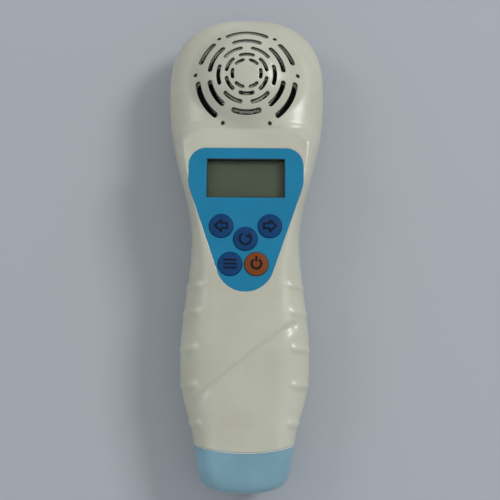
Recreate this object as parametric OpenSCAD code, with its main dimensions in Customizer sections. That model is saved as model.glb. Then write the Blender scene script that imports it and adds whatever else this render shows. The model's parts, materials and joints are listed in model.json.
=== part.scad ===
// Hand-held scanner that lies on its back: X across, Y towards the head, Z up out of the front face.

/* [Housing lengths] */
// Nose cap, from its joint at the sides to its tip
nose_len = 18.7; // [17:0.1:22]
// Nose joint to the fullest part of the grip
taper_len = 36.1; // [34:0.1:40]
// Fullest part of the grip to the waist
grip_len = 48; // [46:0.5:54]
// Waist to the widest part of the head
neck_len = 64.5; // [63:0.5:70]
// Widest part of the head to its top
crown_len = 32.7; // [31.5:0.1:36]
// How far the nose joint and the tip bow outwards
joint_sag = 2.9; // [1.5:0.1:4]

/* [Housing widths] */
// Width of the head
head_w = 65.8; // [64:0.2:72]
// Width of the waist
waist_w = 45; // [43:0.5:49]
// Width of the grip
grip_w = 53.2; // [51:0.2:58]
// Width at the nose joint
joint_w = 40.8; // [39:0.2:44]
// Width of the nose near its tip
tip_w = 35.6; // [33:0.2:38]
// Width of the flat crest along the handle
crest_w = 24.6; // [20:0.2:28]

/* [Housing heights] */
// Front face above the back
panel_z = 32; // [31:0.5:36]
// Parting plane of the two shells above the back
part_z = 17; // [16:0.25:18]
// Front of the nose joint above the back
joint_z = 28.5; // [27:0.25:31]
// Front of the nose tip above the back
tip_z = 25.5; // [24:0.25:27]
// Back of the nose joint above the back
joint_back_z = 2.5; // [1:0.25:4]
// Back of the nose tip above the back
tip_back_z = 5.5; // [4:0.25:7]
// Rise of the loudspeaker dome above the front face
dome_rise = 8; // [6:0.25:10]

/* [Walls and fits] */
// Wall of the shells and of the nose cap
wall = 2.2; // [1.8:0.1:2.6]
// Gap round a piece that drops into a pocket
fit_gap = 0.2; // [0.1:0.05:0.4]
// Gap round a key in its hole
key_gap = 0.15; // [0.1:0.05:0.3]

/* [Loudspeaker] */
// Distance of the loudspeaker beyond the widest part of the head
speaker_up = 1.7; // [1:0.1:3]
// Diameter of the loudspeaker
speaker_d = 40; // [36:0.5:40]
// Depth of the loudspeaker behind its rim
speaker_depth = 14; // [12:0.5:15]
// Radius to which the grille dome is rounded
dome_r = 30; // [28:0.5:34]
// Diameter of the small holes round the grille
vent_d = 1.7; // [1.2:0.1:2.2]

/* [Label and display] */
// Width of the fascia label
label_w = 47.6; // [46:0.2:49]
// Label above the display opening
label_head = 4.7; // [3.6:0.1:6]
// Label below the middles of the lower keys
label_tail = 11.4; // [11:0.1:13]
// Radius of the label's lower end
label_tip_r = 12; // [11:0.2:13]
// Radius of the label's upper corners
label_corner_r = 7.5; // [5:0.5:9]
// Thickness of the label and depth of its pocket
label_t = 0.4; // [0.3:0.05:0.6]
// Width of the display opening
display_w = 32.2; // [29:0.2:34]
// Height of the display opening
display_h = 16.4; // [14:0.2:18]
// Gap between the frame of the display and the upper board screws
display_gap = 0.67; // [0.5:0.01:2]

/* [Keys] */
// Diameter of a key
key_d = 9.6; // [8.6:0.1:10]
// Height of a key above the label
key_proud = 1; // [0.6:0.1:1.6]
// Press of a key
key_travel = 0.8; // [0.4:0.1:1]
// Web between the centre key and the keys round it
key_web = 1.34; // [1.2:0.02:2]
// Left and right keys below the display opening
side_key_down = 11.9; // [11:0.1:13]
// Centre key below the left and right keys
mid_key_down = 5.3; // [4.8:0.1:6]
// Web between the two lower keys
low_key_web = 0.7; // [0.5:0.1:1.4]
// Shift of the lower keys to the left
low_key_shift = 0.8; // [0:0.1:1.4]

/* [Batteries] */
// Diameter of an AA cell
cell_d = 14.5; // [13.5:0.1:14.5]
// Length of an AA cell with its nub
cell_len = 50.5; // [49.2:0.1:50.5]
// Thickness of the battery door
door_t = 2; // [1.6:0.1:2.2]
// Reach of the door's lug under the lip of the rear shell
lug_reach = 1.6; // [1:0.1:2]

/* [Hidden] */
$fn = 48;

// Loudspeaker, with its gasket, fence and clips one outside the other
speaker_r = speaker_d / 2;
gasket_lap = 1.6;
gasket_r = speaker_r + gasket_lap;
fence_t = 1.2;
fence_r = gasket_r + fit_gap;
clip_boss_r = 2;
clip_r = fence_r + fence_t + clip_boss_r;
clip_end = clip_r + clip_boss_r;
clip_angles = [30, 150, 240, 300];
clip_w = 5;
function clip_corner(a, side) =
  [clip_end * cos(a) - side * clip_w / 2 * sin(a), clip_end * sin(a) + side * clip_w / 2 * cos(a)];
clip_low = min([for (a = clip_angles, side = [-1, 1]) clip_corner(a, side)[1]]);

// Edges and distances that set the places of the board, the display and the keys
board_gap = 0.6;
board_boss_r = 2.3;
board_edge = 0.4;
board_corner = board_boss_r + board_edge;
glass_lap = 2;
frame_t = 1.2;
glass_h = display_h + 2 * glass_lap;
key_pitch = key_d + 2 * key_gap + key_web;
low_key_pitch = key_d + 2 * key_gap + low_key_web;
side_key_x = sqrt(pow(key_pitch, 2) - pow(mid_key_down, 2));
low_key_down = sqrt(pow(key_pitch, 2) - pow(low_key_pitch / 2 - low_key_shift, 2));

// Edges that set the places of the battery bay
plate_t = 0.5;
spring_len = 4;
spigot_len = 4;
bay_wall_t = 1.6;
bay_clear = 2.5;

// Places along the length
half_len = (nose_len + taper_len + grip_len + neck_len + crown_len) / 2;
y_joint = nose_len - half_len;
y_grip = y_joint + taper_len;
y_waist = y_grip + grip_len;
y_head = y_waist + neck_len;
y_top = y_head + crown_len;
y_speaker = y_head + speaker_up;
board_high = y_speaker + clip_low - board_gap;
y_display = board_high - board_corner - board_boss_r - display_gap - frame_t - glass_h / 2;
y_label_top = y_display + display_h / 2 + label_head;
y_side_key = y_display - display_h / 2 - side_key_down;
y_mid_key = y_side_key - mid_key_down;
y_low_key = y_mid_key - low_key_down;
y_label_end = y_low_key - label_tail;
bay_low = y_joint + spigot_len + bay_clear + bay_wall_t;
bay_high = bay_low + cell_len + spring_len + 2 * plate_t;

// Form of the housing
crown_power = 2.55;
neck_power = 1.25;
taper_power = 1.5;
front_roll = 30;
front_power = 2.2;
back_roll = 22;
back_power = 2.4;
lift_len = 7.5;
crest_fall = 4;
end_trim = 0.05;
dome_soft = 2;
label_margin = 1.4;
least_shoulder = 2.4;
soften = 4;
head_flat = 0.3;
fade_len = 10;
back_shoulder = 9;
tip_power_w = 7;
tip_power_z = 5;
tip_share = 0.9995;

// Steps of the housing's surface
shoulder_steps = 6;
crest_steps = 5;
back_steps = 2;
handle_rows = 15;
head_rows = 18;
nose_rows = 7;

// Overshoot of a cut beyond the surface that it goes through
over = 1;

// Joint between the shells and the nose
seal_t = 0.5;
seal_inset = 0.4;
seal_slack = 0.04;
spigot_t = 1.6;
spigot_inset = wall + fit_gap;

function mix(a, b, t) = a + (b - a) * t;
function smooth(t) = let (u = min(max(t, 0), 1)) u * u * (3 - 2 * u);
function arch(t, power) = pow(max(0, 1 - pow(max(t, 0), power)), 1 / power);
function soft_max(a, b) = (a + b + sqrt(pow(a - b, 2) + soften)) / 2;
function soft_min(a, b) = (a + b - sqrt(pow(a - b, 2) + soften)) / 2;
function flatten(rows) = [for (row = rows) each row];
function reverse(list) = [for (i = [len(list) - 1 : -1 : 0]) list[i]];

// Half width of the housing at a place along its length
function half_w(y) =
  y >= y_head ? head_w / 2 * arch((y - y_head) / (crown_len + end_trim), crown_power)
  : y >= y_waist ? mix(head_w, waist_w, smooth(pow((y_head - y) / neck_len, neck_power))) / 2
  : y >= y_grip ? mix(waist_w, grip_w, smooth((y_waist - y) / grip_len)) / 2
  : mix(grip_w, joint_w, smooth(pow((y_grip - y) / taper_len, taper_power))) / 2;

// Half width of the label's straight flanks
y_tip_arc = y_label_end + label_tip_r;
flank_r = 13.4;
y_flank_arc = y_label_top - flank_r;
function label_half(y) =
  mix(label_tip_r, label_w / 2, (y - y_tip_arc) / (y_flank_arc - y_tip_arc));

// Half width of the flat crest of the front
function flat_limit(y) = soft_min(half_w(y) - least_shoulder, label_w / 2 + label_margin);
function flat_body(y) = soft_min(soft_max(crest_w / 2, label_half(y) + label_margin), flat_limit(y));
function flat_half(y) =
  mix(min(flat_body(y), half_w(y) - least_shoulder), head_flat * half_w(y),
    smooth((y - y_label_top - wall) / fade_len));

// Heights of the front and the back
y_roll = y_top - front_roll;
y_crest = y_label_end - crest_fall;
y_back = y_top - back_roll;
y_lift = y_joint + lift_len;
function front_z(y) =
  y > y_roll ? mix(part_z, panel_z, arch((y - y_roll) / (front_roll + end_trim), front_power))
  : mix(panel_z, joint_z, smooth((y_crest - y) / (y_crest - y_joint)));
function back_z(y) =
  y > y_back ? mix(part_z, 0, arch((y - y_back) / (back_roll + end_trim), back_power))
  : joint_back_z * smooth((y_lift - y) / lift_len);
function domed(face, x, y, inset) =
  let (rest = pow(dome_r - inset, 2) - pow(x, 2) - pow(y - y_speaker, 2),
    cap = panel_z + dome_rise - dome_r + sqrt(max(rest, 0)))
  max(face, cap) + pow(max(dome_soft - abs(face - cap), 0), 2) / (4 * dome_soft);
function sag_at(y) = joint_sag * (1 - smooth((y - y_joint) / taper_len));

// Half section: pairs of place across and share of the height, from left to right
function half_section(w, flat, steps) =
  let (last = steps + shoulder_steps)
  [for (k = [-last : last])
    let (j = abs(k), side = sign(k), a = 90 * (last - j) / shoulder_steps)
    j < steps ? [side * flat * j / steps, 1] : [side * (flat + (w - flat) * cos(a)), sin(a)]];

function front_row(y, inset) =
  let (w = half_w(y) - inset, top = front_z(y) - inset, flat = min(flat_half(y), w - least_shoulder / 2))
  [for (q = half_section(w, flat, crest_steps))
    [q[0], y - sag_at(y) * (1 - pow(q[0] / half_w(y), 2)),
      domed(mix(part_z, top, q[1]), q[0], y, inset)]];
function back_flat(w) = max(w - back_shoulder, w / 3);
function back_at(x, y, inset) =
  let (w = half_w(y) - inset, flat = back_flat(w), u = min(1, max(0, (abs(x) - flat) / (w - flat))))
  mix(part_z, back_z(y) + inset, sqrt(1 - u * u));
function back_row(y, inset) =
  let (w = half_w(y) - inset, low = back_z(y) + inset)
  [for (q = half_section(w, back_flat(w), back_steps))
    [q[0], y - sag_at(y) * (1 - pow(q[0] / half_w(y), 2)), mix(part_z, low, q[1])]];

// Rows of the shells, closer together towards the top of the head
y_shell = y_joint + seal_t;
y_neck = y_label_top + wall;
row_places = concat(
  [for (i = [0 : handle_rows - 1]) mix(y_shell, y_neck, i / handle_rows)],
  [for (i = [0 : head_rows]) mix(y_neck, y_top, sin(90 * i / head_rows))]);
function inner_place(y, inset) = mix(y_shell, y_top - inset, (y - y_shell) / (y_top - y_shell));
function front_rows(inset) = [for (y = row_places) front_row(inner_place(y, inset), inset)];
function back_rows(inset) = [for (y = row_places) back_row(inner_place(y, inset), inset)];

// Rows of the nose from its tip to its joint
function nose_row(share, inset) =
  let (t = share * tip_share, y = y_joint - share * (nose_len - joint_sag - inset),
    full_w = mix(joint_w, tip_w, t) / 2 * arch(t, tip_power_w), w = full_w - inset,
    flat = min(flat_half(y_joint) * full_w / half_w(y_joint), w - least_shoulder / 2),
    top = mix(part_z, mix(joint_z, tip_z, t), arch(t, tip_power_z)) - inset,
    low = mix(part_z, mix(joint_back_z, tip_back_z, t), arch(t, tip_power_z)) + inset,
    front = half_section(w, flat, crest_steps),
    back = half_section(w, back_flat(w), back_steps))
  concat(
    [for (q = front) [q[0], y - joint_sag * (1 - pow(q[0] / full_w, 2)), mix(part_z, top, q[1])]],
    [for (i = [len(back) - 2 : -1 : 1]) let (q = back[i])
      [q[0], y - joint_sag * (1 - pow(q[0] / full_w, 2)), mix(part_z, low, q[1])]]);
function shift_row(row, dy) = [for (p = row) p + [0, dy, 0]];

// Faces of a grid of rows, and of the same grid closed round
function grid(rows, cols, base) = [for (i = [0 : rows - 2], j = [0 : cols - 2])
  let (a = base + i * cols + j) [a, a + cols, a + cols + 1, a + 1]];
function ring_grid(rows, cols, base) = [for (i = [0 : rows - 2], j = [0 : cols - 1])
  let (a = base + i * cols, k = (j + 1) % cols) [a + j, a + j + cols, a + k + cols, a + k]];
function flipped(faces) = [for (face = faces) reverse(face)];
function span(first, count) = [for (j = [0 : count - 1]) first + j];

// Half shell with a wall: open at its first row and along the parting plane, closed at its last
module half_shell(outer, inner, turned) {
  rows = len(outer);
  cols = len(outer[0]);
  n = rows * cols;
  last = (rows - 1) * cols;
  faces = concat(grid(rows, cols, 0), flipped(grid(rows, cols, n)),
    [for (i = [0 : rows - 2]) let (a = i * cols) [a, n + a, n + a + cols, a + cols]],
    [for (i = [1 : rows - 1]) let (a = i * cols - 1) [a, a + cols, n + a + cols, n + a]],
    [for (j = [0 : cols - 2]) [j, j + 1, n + j + 1, n + j]],
    [[n + last, n + last + cols - 1, last + cols - 1, last],
      reverse(span(last, cols)), span(n + last, cols)]);
  polyhedron(concat(flatten(outer), flatten(inner)), turned ? flipped(faces) : faces);
}

// The same half housing as a block, closed along the parting plane
module half_block(rows, turned) {
  count = len(rows);
  cols = len(rows[0]);
  faces = concat(grid(count, cols, 0),
    [for (i = [0 : count - 2]) let (a = i * cols) [a, a + cols - 1, a + 2 * cols - 1, a + cols]],
    [span(0, cols), reverse(span((count - 1) * cols, cols))]);
  polyhedron(flatten(rows), turned ? flipped(faces) : faces);
}

// Closed shell round its own axis: capped at its first row, open at its last
module cup(outer, inner) {
  cols = len(outer[0]);
  n = len(outer) * cols;
  out_last = n - cols;
  in_last = n + (len(inner) - 1) * cols;
  faces = concat(ring_grid(len(outer), cols, 0), flipped(ring_grid(len(inner), cols, n)),
    [span(0, cols), reverse(span(n, cols))],
    [for (j = [0 : cols - 1]) let (k = (j + 1) % cols)
      [out_last + k, out_last + j, in_last + j, in_last + k]]);
  polyhedron(concat(flatten(outer), flatten(inner)), faces);
}

// Band between four rows that go round: outside first and last, then inside first and last
module band(rows) {
  cols = len(rows[0]);
  loop = [rows[0], rows[1], rows[3], rows[2], rows[0]];
  n = 4 * cols;
  faces = [for (i = [0 : 3], j = [0 : cols - 1])
    let (a = i * cols, k = (j + 1) % cols, b = (a + cols) % n) [a + j, b + j, b + k, a + k]];
  polyhedron(flatten([loop[0], loop[1], loop[2], loop[3]]), faces);
}

// Tube along a list of points, with a radius for each point
tube_sides = 8;
function unit(v) = v / norm(v);
function tube_row(points, i, r, sides) =
  let (last = len(points) - 1, along = unit(points[min(i + 1, last)] - points[max(i - 1, 0)]),
    guide = abs(along[2]) > 0.9 ? [1, 0, 0] : [0, 0, 1],
    up = unit(guide - (guide * along) * along), right = cross(along, up))
  [for (k = [0 : sides - 1])
    let (b = 360 * k / sides)
    points[i] + r * (up * sin(b) - right * cos(b))];
module tube(points, radii, sides) {
  rows = [for (i = [0 : len(points) - 1]) tube_row(points, i, radii[i], sides)];
  polyhedron(flatten(rows), concat(ring_grid(len(rows), sides, 0),
    [span(0, sides), reverse(span((len(rows) - 1) * sides, sides))]));
}
module wire(points, r) {
  tube(points, [for (p = points) r], tube_sides);
}

// Height of the front surface at a place, or of the surface that lies inside it by an inset
function front_at(x, y, inset) =
  let (w = half_w(y) - inset, flat = min(flat_half(y), w - least_shoulder / 2),
    u = min(1, max(0, (abs(x) - flat) / (w - flat))))
  domed(mix(part_z, front_z(y) - inset, sqrt(1 - u * u)), x, y, inset);

// Grip bumps along the shoulders, which sink into the surface at both ends
bump_places = [28, 17.2, 2.5, -12.1, -27.2];
bump_radii = [2.2, 2.7, 2.8, 2.8, 2.7];
bump_middle = 37;
bump_sweep = 31;
bump_proud = 0.8;
bump_fade = 0.38;
bump_steps = 3;
bump_sides = 12;
function bump_point(y, a, sunk) =
  let (w = half_w(y), flat = flat_half(y), across = w - flat, up = front_z(y) - part_z,
    normal = [cos(a) / across, 0, sin(a) / up])
  [flat + across * cos(a), y, part_z + up * sin(a)] - unit(normal) * sunk;
module grip_bump(y, r) {
  shares = [for (i = [-bump_steps : bump_steps]) sin(90 * i / bump_steps)];
  tube([for (s = shares) bump_point(y, bump_middle + bump_sweep * s, r - bump_proud)],
    [for (s = shares) r * (1 - bump_fade * pow(s, 4))], bump_sides);
}
module grip_bumps() {
  for (side = [0, 1])
    mirror([side, 0, 0])
      for (i = [0 : len(bump_places) - 1])
        grip_bump(y_grip + bump_places[i], bump_radii[i]);
}

// Diagonal crease across the handle
crease_from = [19.6, 12.9];
crease_to = [-20.5, -17.8];
crease_steps = 8;
crease_r = 1.3;
crease_depth = 0.6;
module crease() {
  points = [for (i = [0 : crease_steps])
    let (x = mix(crease_from[0], crease_to[0], i / crease_steps),
      y = y_grip + mix(crease_from[1], crease_to[1], i / crease_steps))
    [x, y, front_at(x, y, 0) + crease_r - crease_depth]];
  wire(points, crease_r);
}

// Loudspeaker grille: radius, width, and the arcs as middle and half angle from the top
vent_r = 21.4;
vent_angles = [33, 85, 153];
slots = [
  [5.9, 1.4, [for (i = [0 : 5]) [30 + 60 * i, 22]]],
  [8.4, 1.5, [for (i = [0 : 5]) [60 * i, 23]]],
  [11.7, 1.6, [for (i = [0 : 5]) [30 + 60 * i, 22]]],
  [15.4, 1.95, [for (i = [0 : 5]) [60 * i, 23.5]]],
  [20.3, 2.2, [[0, 26], [56.5, 16], [303.5, 16], [118.5, 25], [241.5, 25]]]];
cut_z = part_z + wall;
cut_h = panel_z + 2 * dome_rise - cut_z;
module grille_cuts() {
  translate([0, y_speaker, cut_z]) {
    for (ring = slots)
      for (arc = ring[2])
        rotate([0, 0, 90 - arc[0] - arc[1]])
          rotate_extrude(angle = 2 * arc[1])
            translate([ring[0] - ring[1] / 2, 0])
              square([ring[1], cut_h]);
    for (side = [-1, 1])
      for (a = vent_angles)
        rotate([0, 0, 90 + side * a])
          translate([vent_r, 0, 0])
            cylinder(h = cut_h, d = vent_d);
  }
}

// Outline of the fascia label
module label_outline(gap) {
  offset(delta = gap)
    hull() {
      translate([0, y_tip_arc]) circle(label_tip_r);
      for (side = [-1, 1]) {
        translate([side * (label_w / 2 - flank_r), y_flank_arc]) circle(flank_r);
        translate([side * (label_w / 2 - label_corner_r), y_label_top - label_corner_r])
          circle(label_corner_r);
      }
    }
}

// Keys: middles of the left, right, centre, lower and power key
key_spots = [
  [-side_key_x, y_side_key],
  [side_key_x, y_side_key],
  [0, y_mid_key],
  [-low_key_pitch / 2 - low_key_shift, y_low_key],
  [low_key_pitch / 2 - low_key_shift, y_low_key]];
ear_turns = [90, 90, 0, 90, 90];
ear_reach = 1.4;
ear_w = 3;
ear_t = 1.2;
ear_gap = 0.1;
under_z = panel_z - wall;
key_low_z = under_z - ear_gap - ear_t;
key_crown = 0.5;

// Board and what stands on it
board_drop = 5.8;
board_t = 1.6;
board_z = under_z - board_drop;
key_wall = 0.4;
boss_from_key = key_d / 2 + key_gap + key_wall + board_boss_r;
y_low_boss = y_low_key - sqrt(pow(boss_from_key, 2) - pow(low_key_pitch / 2, 2));
board_low = y_low_boss - board_corner;
board_low_w = 23;
board_side = 7.5;
board_rim = 2.5;
board_mid_w = waist_w - 2 * board_side;
board_high_w = waist_w - 2 * board_rim;
board_slant = 2;
board_shoulder = 12;
board_step = y_display - board_shoulder;
switch_size = 6;
switch_h = 3;
plunger_d = 3.3;
plunger_sunk = 0.9;
plunger_gap = 0.1;
switch_z = board_z + switch_h;

// Screws: shell screws from the back, board screws from under the board
upper_screw_x = 23.5;
upper_screw_down = 16;
lower_screw_x = 15.2;
lower_screw_up = 4.5;
y_low_screw = bay_high + lower_screw_up;
shell_screw_spots = [[upper_screw_x, y_head - upper_screw_down], [lower_screw_x, y_low_screw]];
shell_boss_r = 3;
screw_clear = 7;
board_waist = y_low_screw + shell_boss_r + screw_clear + board_slant;
shell_pilot_r = 1.25;
shell_seat_z = 5;
seat_wall = 1.2;
shell_head_r = 2.6;
shell_head_h = 2;
shell_bite = 7;
pilot_gap = 0.03;
pilot_spare = 0.5;
shank_gap = 0.25;
head_gap = 0.2;
board_pilot_r = 0.9;
board_head_r = 1.7;
board_head_h = 1.3;
board_bite = 4;

// Loudspeaker, as high as the front wall lets its rim and the outer corners of its clips go
gasket_t = 0.8;
scrim_t = 0.3;
speaker_air = 0.3;
rim_t = 1.2;
rim_w = 2;
rim_room = min([for (a = [0 : 15 : 345]) let (p = speaker_spot(gasket_r, a)) front_at(p[0], p[1], wall)])
  - gasket_t - scrim_t;
clip_room = min([for (a = clip_angles, side = [-1, 1])
  let (p = clip_corner(a, side)) front_at(p[0], y_speaker + p[1], wall)]);
rim_top = min(rim_room, clip_room + rim_t) - speaker_air;
rim_low = rim_top - rim_t;
frame_drop = 9;
frame_low = rim_top - frame_drop;
magnet_r = 11;
clip_t = 1;
clip_in = 1;
clip_pilot_r = 0.8;
clip_head_r = 1.5;
clip_head_h = 1;
clip_bite = 1.8;

// Board screws in the upper corners and below the lower keys
board_screw_spots = [[board_high_w / 2 - board_corner, board_high - board_corner],
  [board_corner - board_high_w / 2, board_high - board_corner], [-low_key_shift, y_low_boss]];

module mirrored_pair() {
  for (side = [0, 1])
    mirror([side, 0, 0])
      children();
}
module at_clips() {
  for (a = clip_angles)
    translate([0, y_speaker, 0])
      rotate([0, 0, a])
        children();
}

// Bosses and the ribs round the loudspeaker, each ending inside the front wall
fence_count = 6;
fence_sweep = 24;
function speaker_spot(r, a) = [r * cos(a), y_speaker + r * sin(a)];
function roof(x, y, r) =
  min([for (a = [0 : 45 : 315]) front_at(x + r * cos(a), y + r * sin(a), 0)]) - wall / 2;
function fence_roof(a) = min([for (b = [0, fence_sweep])
  let (p = speaker_spot(fence_r + fence_t, a + b)) front_at(p[0], p[1], 0)]) - wall / 2;
module post(spot, low, r) {
  translate([spot[0], spot[1], low]) cylinder(h = roof(spot[0], spot[1], r) - low, r = r);
}
module front_fittings() {
  mirrored_pair()
    for (spot = shell_screw_spots)
      post(spot, part_z, shell_boss_r);
  for (spot = board_screw_spots)
    post(spot, board_z, board_boss_r);
  for (a = clip_angles)
    post(speaker_spot(clip_r, a), rim_low, clip_boss_r);
  for (i = [0 : fence_count - 1])
    let (a = 360 * (i + 0.5) / fence_count - fence_sweep / 2)
      translate([0, y_speaker, rim_low])
        rotate([0, 0, a])
          rotate_extrude(angle = fence_sweep)
            translate([fence_r, 0])
              square([fence_t, fence_roof(a) - rim_low]);
}

module front_shell() {
  color("ivory")
    difference() {
      union() {
        half_shell(front_rows(0), front_rows(wall), false);
        front_fittings();
        grip_bumps();
      }
      crease();
      grille_cuts();
      translate([0, 0, panel_z - label_t])
        linear_extrude(wall) label_outline(0);
      translate([-display_w / 2, y_display - display_h / 2, under_z - over])
        cube([display_w, display_h, 2 * wall]);
      for (spot = key_spots)
        translate([spot[0], spot[1], under_z - over])
          cylinder(h = 2 * wall, d = key_d + 2 * key_gap);
      mirrored_pair()
        for (spot = shell_screw_spots)
          translate([spot[0], spot[1], part_z - over])
            cylinder(h = over + shell_bite + pilot_spare, r = shell_pilot_r + pilot_gap);
      for (spot = board_screw_spots)
        translate([spot[0], spot[1], board_z - over])
          cylinder(h = over + board_bite + pilot_spare, r = board_pilot_r + pilot_gap);
      at_clips()
        translate([clip_r, 0, rim_low - over])
          cylinder(h = over + clip_bite + pilot_spare, r = clip_pilot_r + pilot_gap);
    }
}

// Battery bay, its door opening and the cells in it
bay_wall_drop = 1.5;
bay_wall_top = part_z - bay_wall_drop;
cell_gap = 0.3;
cell_lift = 0.6;
door_side = 1.4;
lip_low = 2.6;
lip_high = 1;
door_low = bay_low + lip_low;
door_high = bay_high - lip_high;
door_half_w = cell_d + door_side;
y_hinge = door_low + fit_gap + door_t / 2;
lug_half_w = 2;
lug_t = 1;
lug_gap = 0.15;
notch_r = 5.6;
notch_edge = 1.4;
notch_depth = 0.7;
cell_x = (cell_d + cell_gap) / 2;
cell_z = door_t + cell_lift + cell_d / 2;

module rear_shell() {
  color("ivory")
    difference() {
      union() {
        half_shell(back_rows(0), back_rows(wall), true);
        intersection() {
          half_block(back_rows(wall / 2), true);
          union() {
            for (y = [bay_low - bay_wall_t, bay_high])
              translate([-grip_w / 2, y, 0]) cube([grip_w, bay_wall_t, bay_wall_top]);
            mirrored_pair()
              for (spot = shell_screw_spots)
                translate([spot[0], spot[1], 0])
                  cylinder(h = part_z, r = shell_head_r + head_gap + seat_wall);
          }
        }
      }
      translate([-door_half_w, door_low, -over])
        cube([2 * door_half_w, door_high - door_low, wall + 2 * over]);
      mirrored_pair()
        for (spot = shell_screw_spots)
          translate([spot[0], spot[1], -over]) {
            cylinder(h = shell_seat_z + over, r = shell_head_r + head_gap);
            cylinder(h = part_z + 2 * over, r = shell_pilot_r + shank_gap);
          }
    }
}

// Battery door with a round hinge edge and a lug that stays under the lip of the rear shell
module battery_door() {
  half = door_half_w - fit_gap;
  color("ivory")
    difference() {
      union() {
        translate([-half, y_hinge, 0]) cube([2 * half, door_high - fit_gap - y_hinge, door_t]);
        translate([-half, y_hinge, door_t / 2]) rotate([0, 90, 0]) cylinder(h = 2 * half, d = door_t);
        translate([-lug_half_w, door_low + fit_gap - lug_reach, wall + lug_gap])
          cube([2 * lug_half_w, y_hinge - door_low - fit_gap + lug_reach + 2 * lug_t, lug_t]);
        translate([-lug_half_w, y_hinge, door_t / 2])
          cube([2 * lug_half_w, 2 * lug_t, wall + lug_gap + lug_t - door_t / 2]);
      }
      translate([0, door_high - fit_gap - notch_edge - notch_r, -over])
        cylinder(h = notch_depth + over, r = notch_r);
    }
}

// Nose cap with its spigot and two open cradles that take the ends of the antenna core
ferrite_r = 3;
ferrite_half = 13.6;
cradle_r = 4.4;
cradle_in = 11.4;
bobbin_half = 10.6;
bobbin_t = 0.6;
flange_r = 5.8;
flange_t = 1;
winding_r = 5.4;
antenna_down = 3.6;
y_antenna = y_joint - joint_sag - antenna_down;
z_antenna = (joint_z + joint_back_z) / 2;
inner_joint = spigot_inset + spigot_t;
nose_shares = [for (i = [nose_rows : -1 : 1]) sin(90 * i / nose_rows)];
function nose_rows_at(inset) = [for (s = nose_shares) nose_row(s, inset)];
cradle_share = (y_joint - y_antenna + cradle_r) / (nose_len - joint_sag);
cradle_squeeze = 0.94;
cradle_w = mix(joint_w, tip_w, cradle_share) * arch(cradle_share, tip_power_w);
cradle_out = cradle_w / 2 * cradle_squeeze - wall / 2;

module nose_cap() {
  color("lightblue")
    difference() {
      union() {
        cup(concat(nose_rows_at(0), [nose_row(0, 0), nose_row(0, spigot_inset),
            shift_row(nose_row(0, spigot_inset), spigot_len)]),
          concat(nose_rows_at(wall), [nose_row(0, inner_joint),
            shift_row(nose_row(0, inner_joint), spigot_len)]));
        mirrored_pair()
          translate([cradle_in, y_antenna, z_antenna])
            rotate([0, 90, 0]) cylinder(h = cradle_out - cradle_in, r = cradle_r);
      }
      along_antenna(ferrite_half + fit_gap, ferrite_r + pilot_gap);
      translate([-ferrite_half - fit_gap, y_antenna, z_antenna - ferrite_r - pilot_gap])
        cube([2 * (ferrite_half + fit_gap), 2 * cradle_r, 2 * (ferrite_r + pilot_gap)]);
    }
}

module nose_seal() {
  color("dimgray")
    band([shift_row(nose_row(0, seal_inset), seal_slack),
      shift_row(nose_row(0, seal_inset), seal_t - seal_slack),
      shift_row(nose_row(0, wall), seal_slack), shift_row(nose_row(0, wall), seal_t - seal_slack)]);
}

module along_antenna(half, r) {
  translate([-half, y_antenna, z_antenna])
    rotate([0, 90, 0]) cylinder(h = 2 * half, r = r);
}
module antenna_core() {
  color("dimgray") along_antenna(ferrite_half, ferrite_r);
}
module antenna_bobbin() {
  color("black")
    difference() {
      union() {
        along_antenna(bobbin_half, ferrite_r + bobbin_t);
        mirrored_pair()
          translate([bobbin_half - flange_t, y_antenna, z_antenna])
            rotate([0, 90, 0]) cylinder(h = flange_t, r = flange_r);
      }
      along_antenna(bobbin_half + over, ferrite_r + pilot_gap);
    }
}
module antenna_winding() {
  color("peru")
    difference() {
      along_antenna(bobbin_half - flange_t, winding_r);
      along_antenna(bobbin_half, ferrite_r + bobbin_t);
    }
}

// Label, display and board
window_lap = 1.5;
window_t = 1;
glass_t = 2.6;
display_air = 0.1;
strip_w = 2;
glass_w = display_w + 2 * window_lap;
glass_top = under_z - window_t - display_air;
glass_low = glass_top - glass_t;

module on_display(w, h, low, t) {
  translate([-w / 2, y_display - h / 2, low]) cube([w, h, t]);
}

module fascia_label() {
  color("steelblue")
    translate([0, 0, panel_z - label_t])
      linear_extrude(label_t)
        difference() {
          label_outline(-fit_gap);
          translate([-display_w / 2, y_display - display_h / 2]) square([display_w, display_h]);
          for (spot = key_spots)
            translate(spot) circle(d = key_d + 2 * key_gap);
        }
}

module display_window() {
  color("lightgray")
    on_display(display_w + 2 * window_lap, display_h + 2 * window_lap, under_z - window_t, window_t);
}

module display_glass() {
  color("darkolivegreen") on_display(glass_w, glass_h, glass_low, glass_t);
}

module display_frame() {
  color("black")
    difference() {
      on_display(glass_w + 2 * frame_t, glass_h + 2 * frame_t, board_z, glass_top - board_z);
      on_display(glass_w + 2 * fit_gap, glass_h + 2 * fit_gap, board_z - over,
        glass_top - board_z + 2 * over);
    }
}

module contact_strips() {
  color("dimgray")
    for (side = [-1, 1])
      translate([-display_w / 2, y_display + side * (glass_h / 2 - strip_w) - strip_w / 2, board_z])
        cube([display_w, strip_w, glass_low - board_z]);
}

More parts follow.
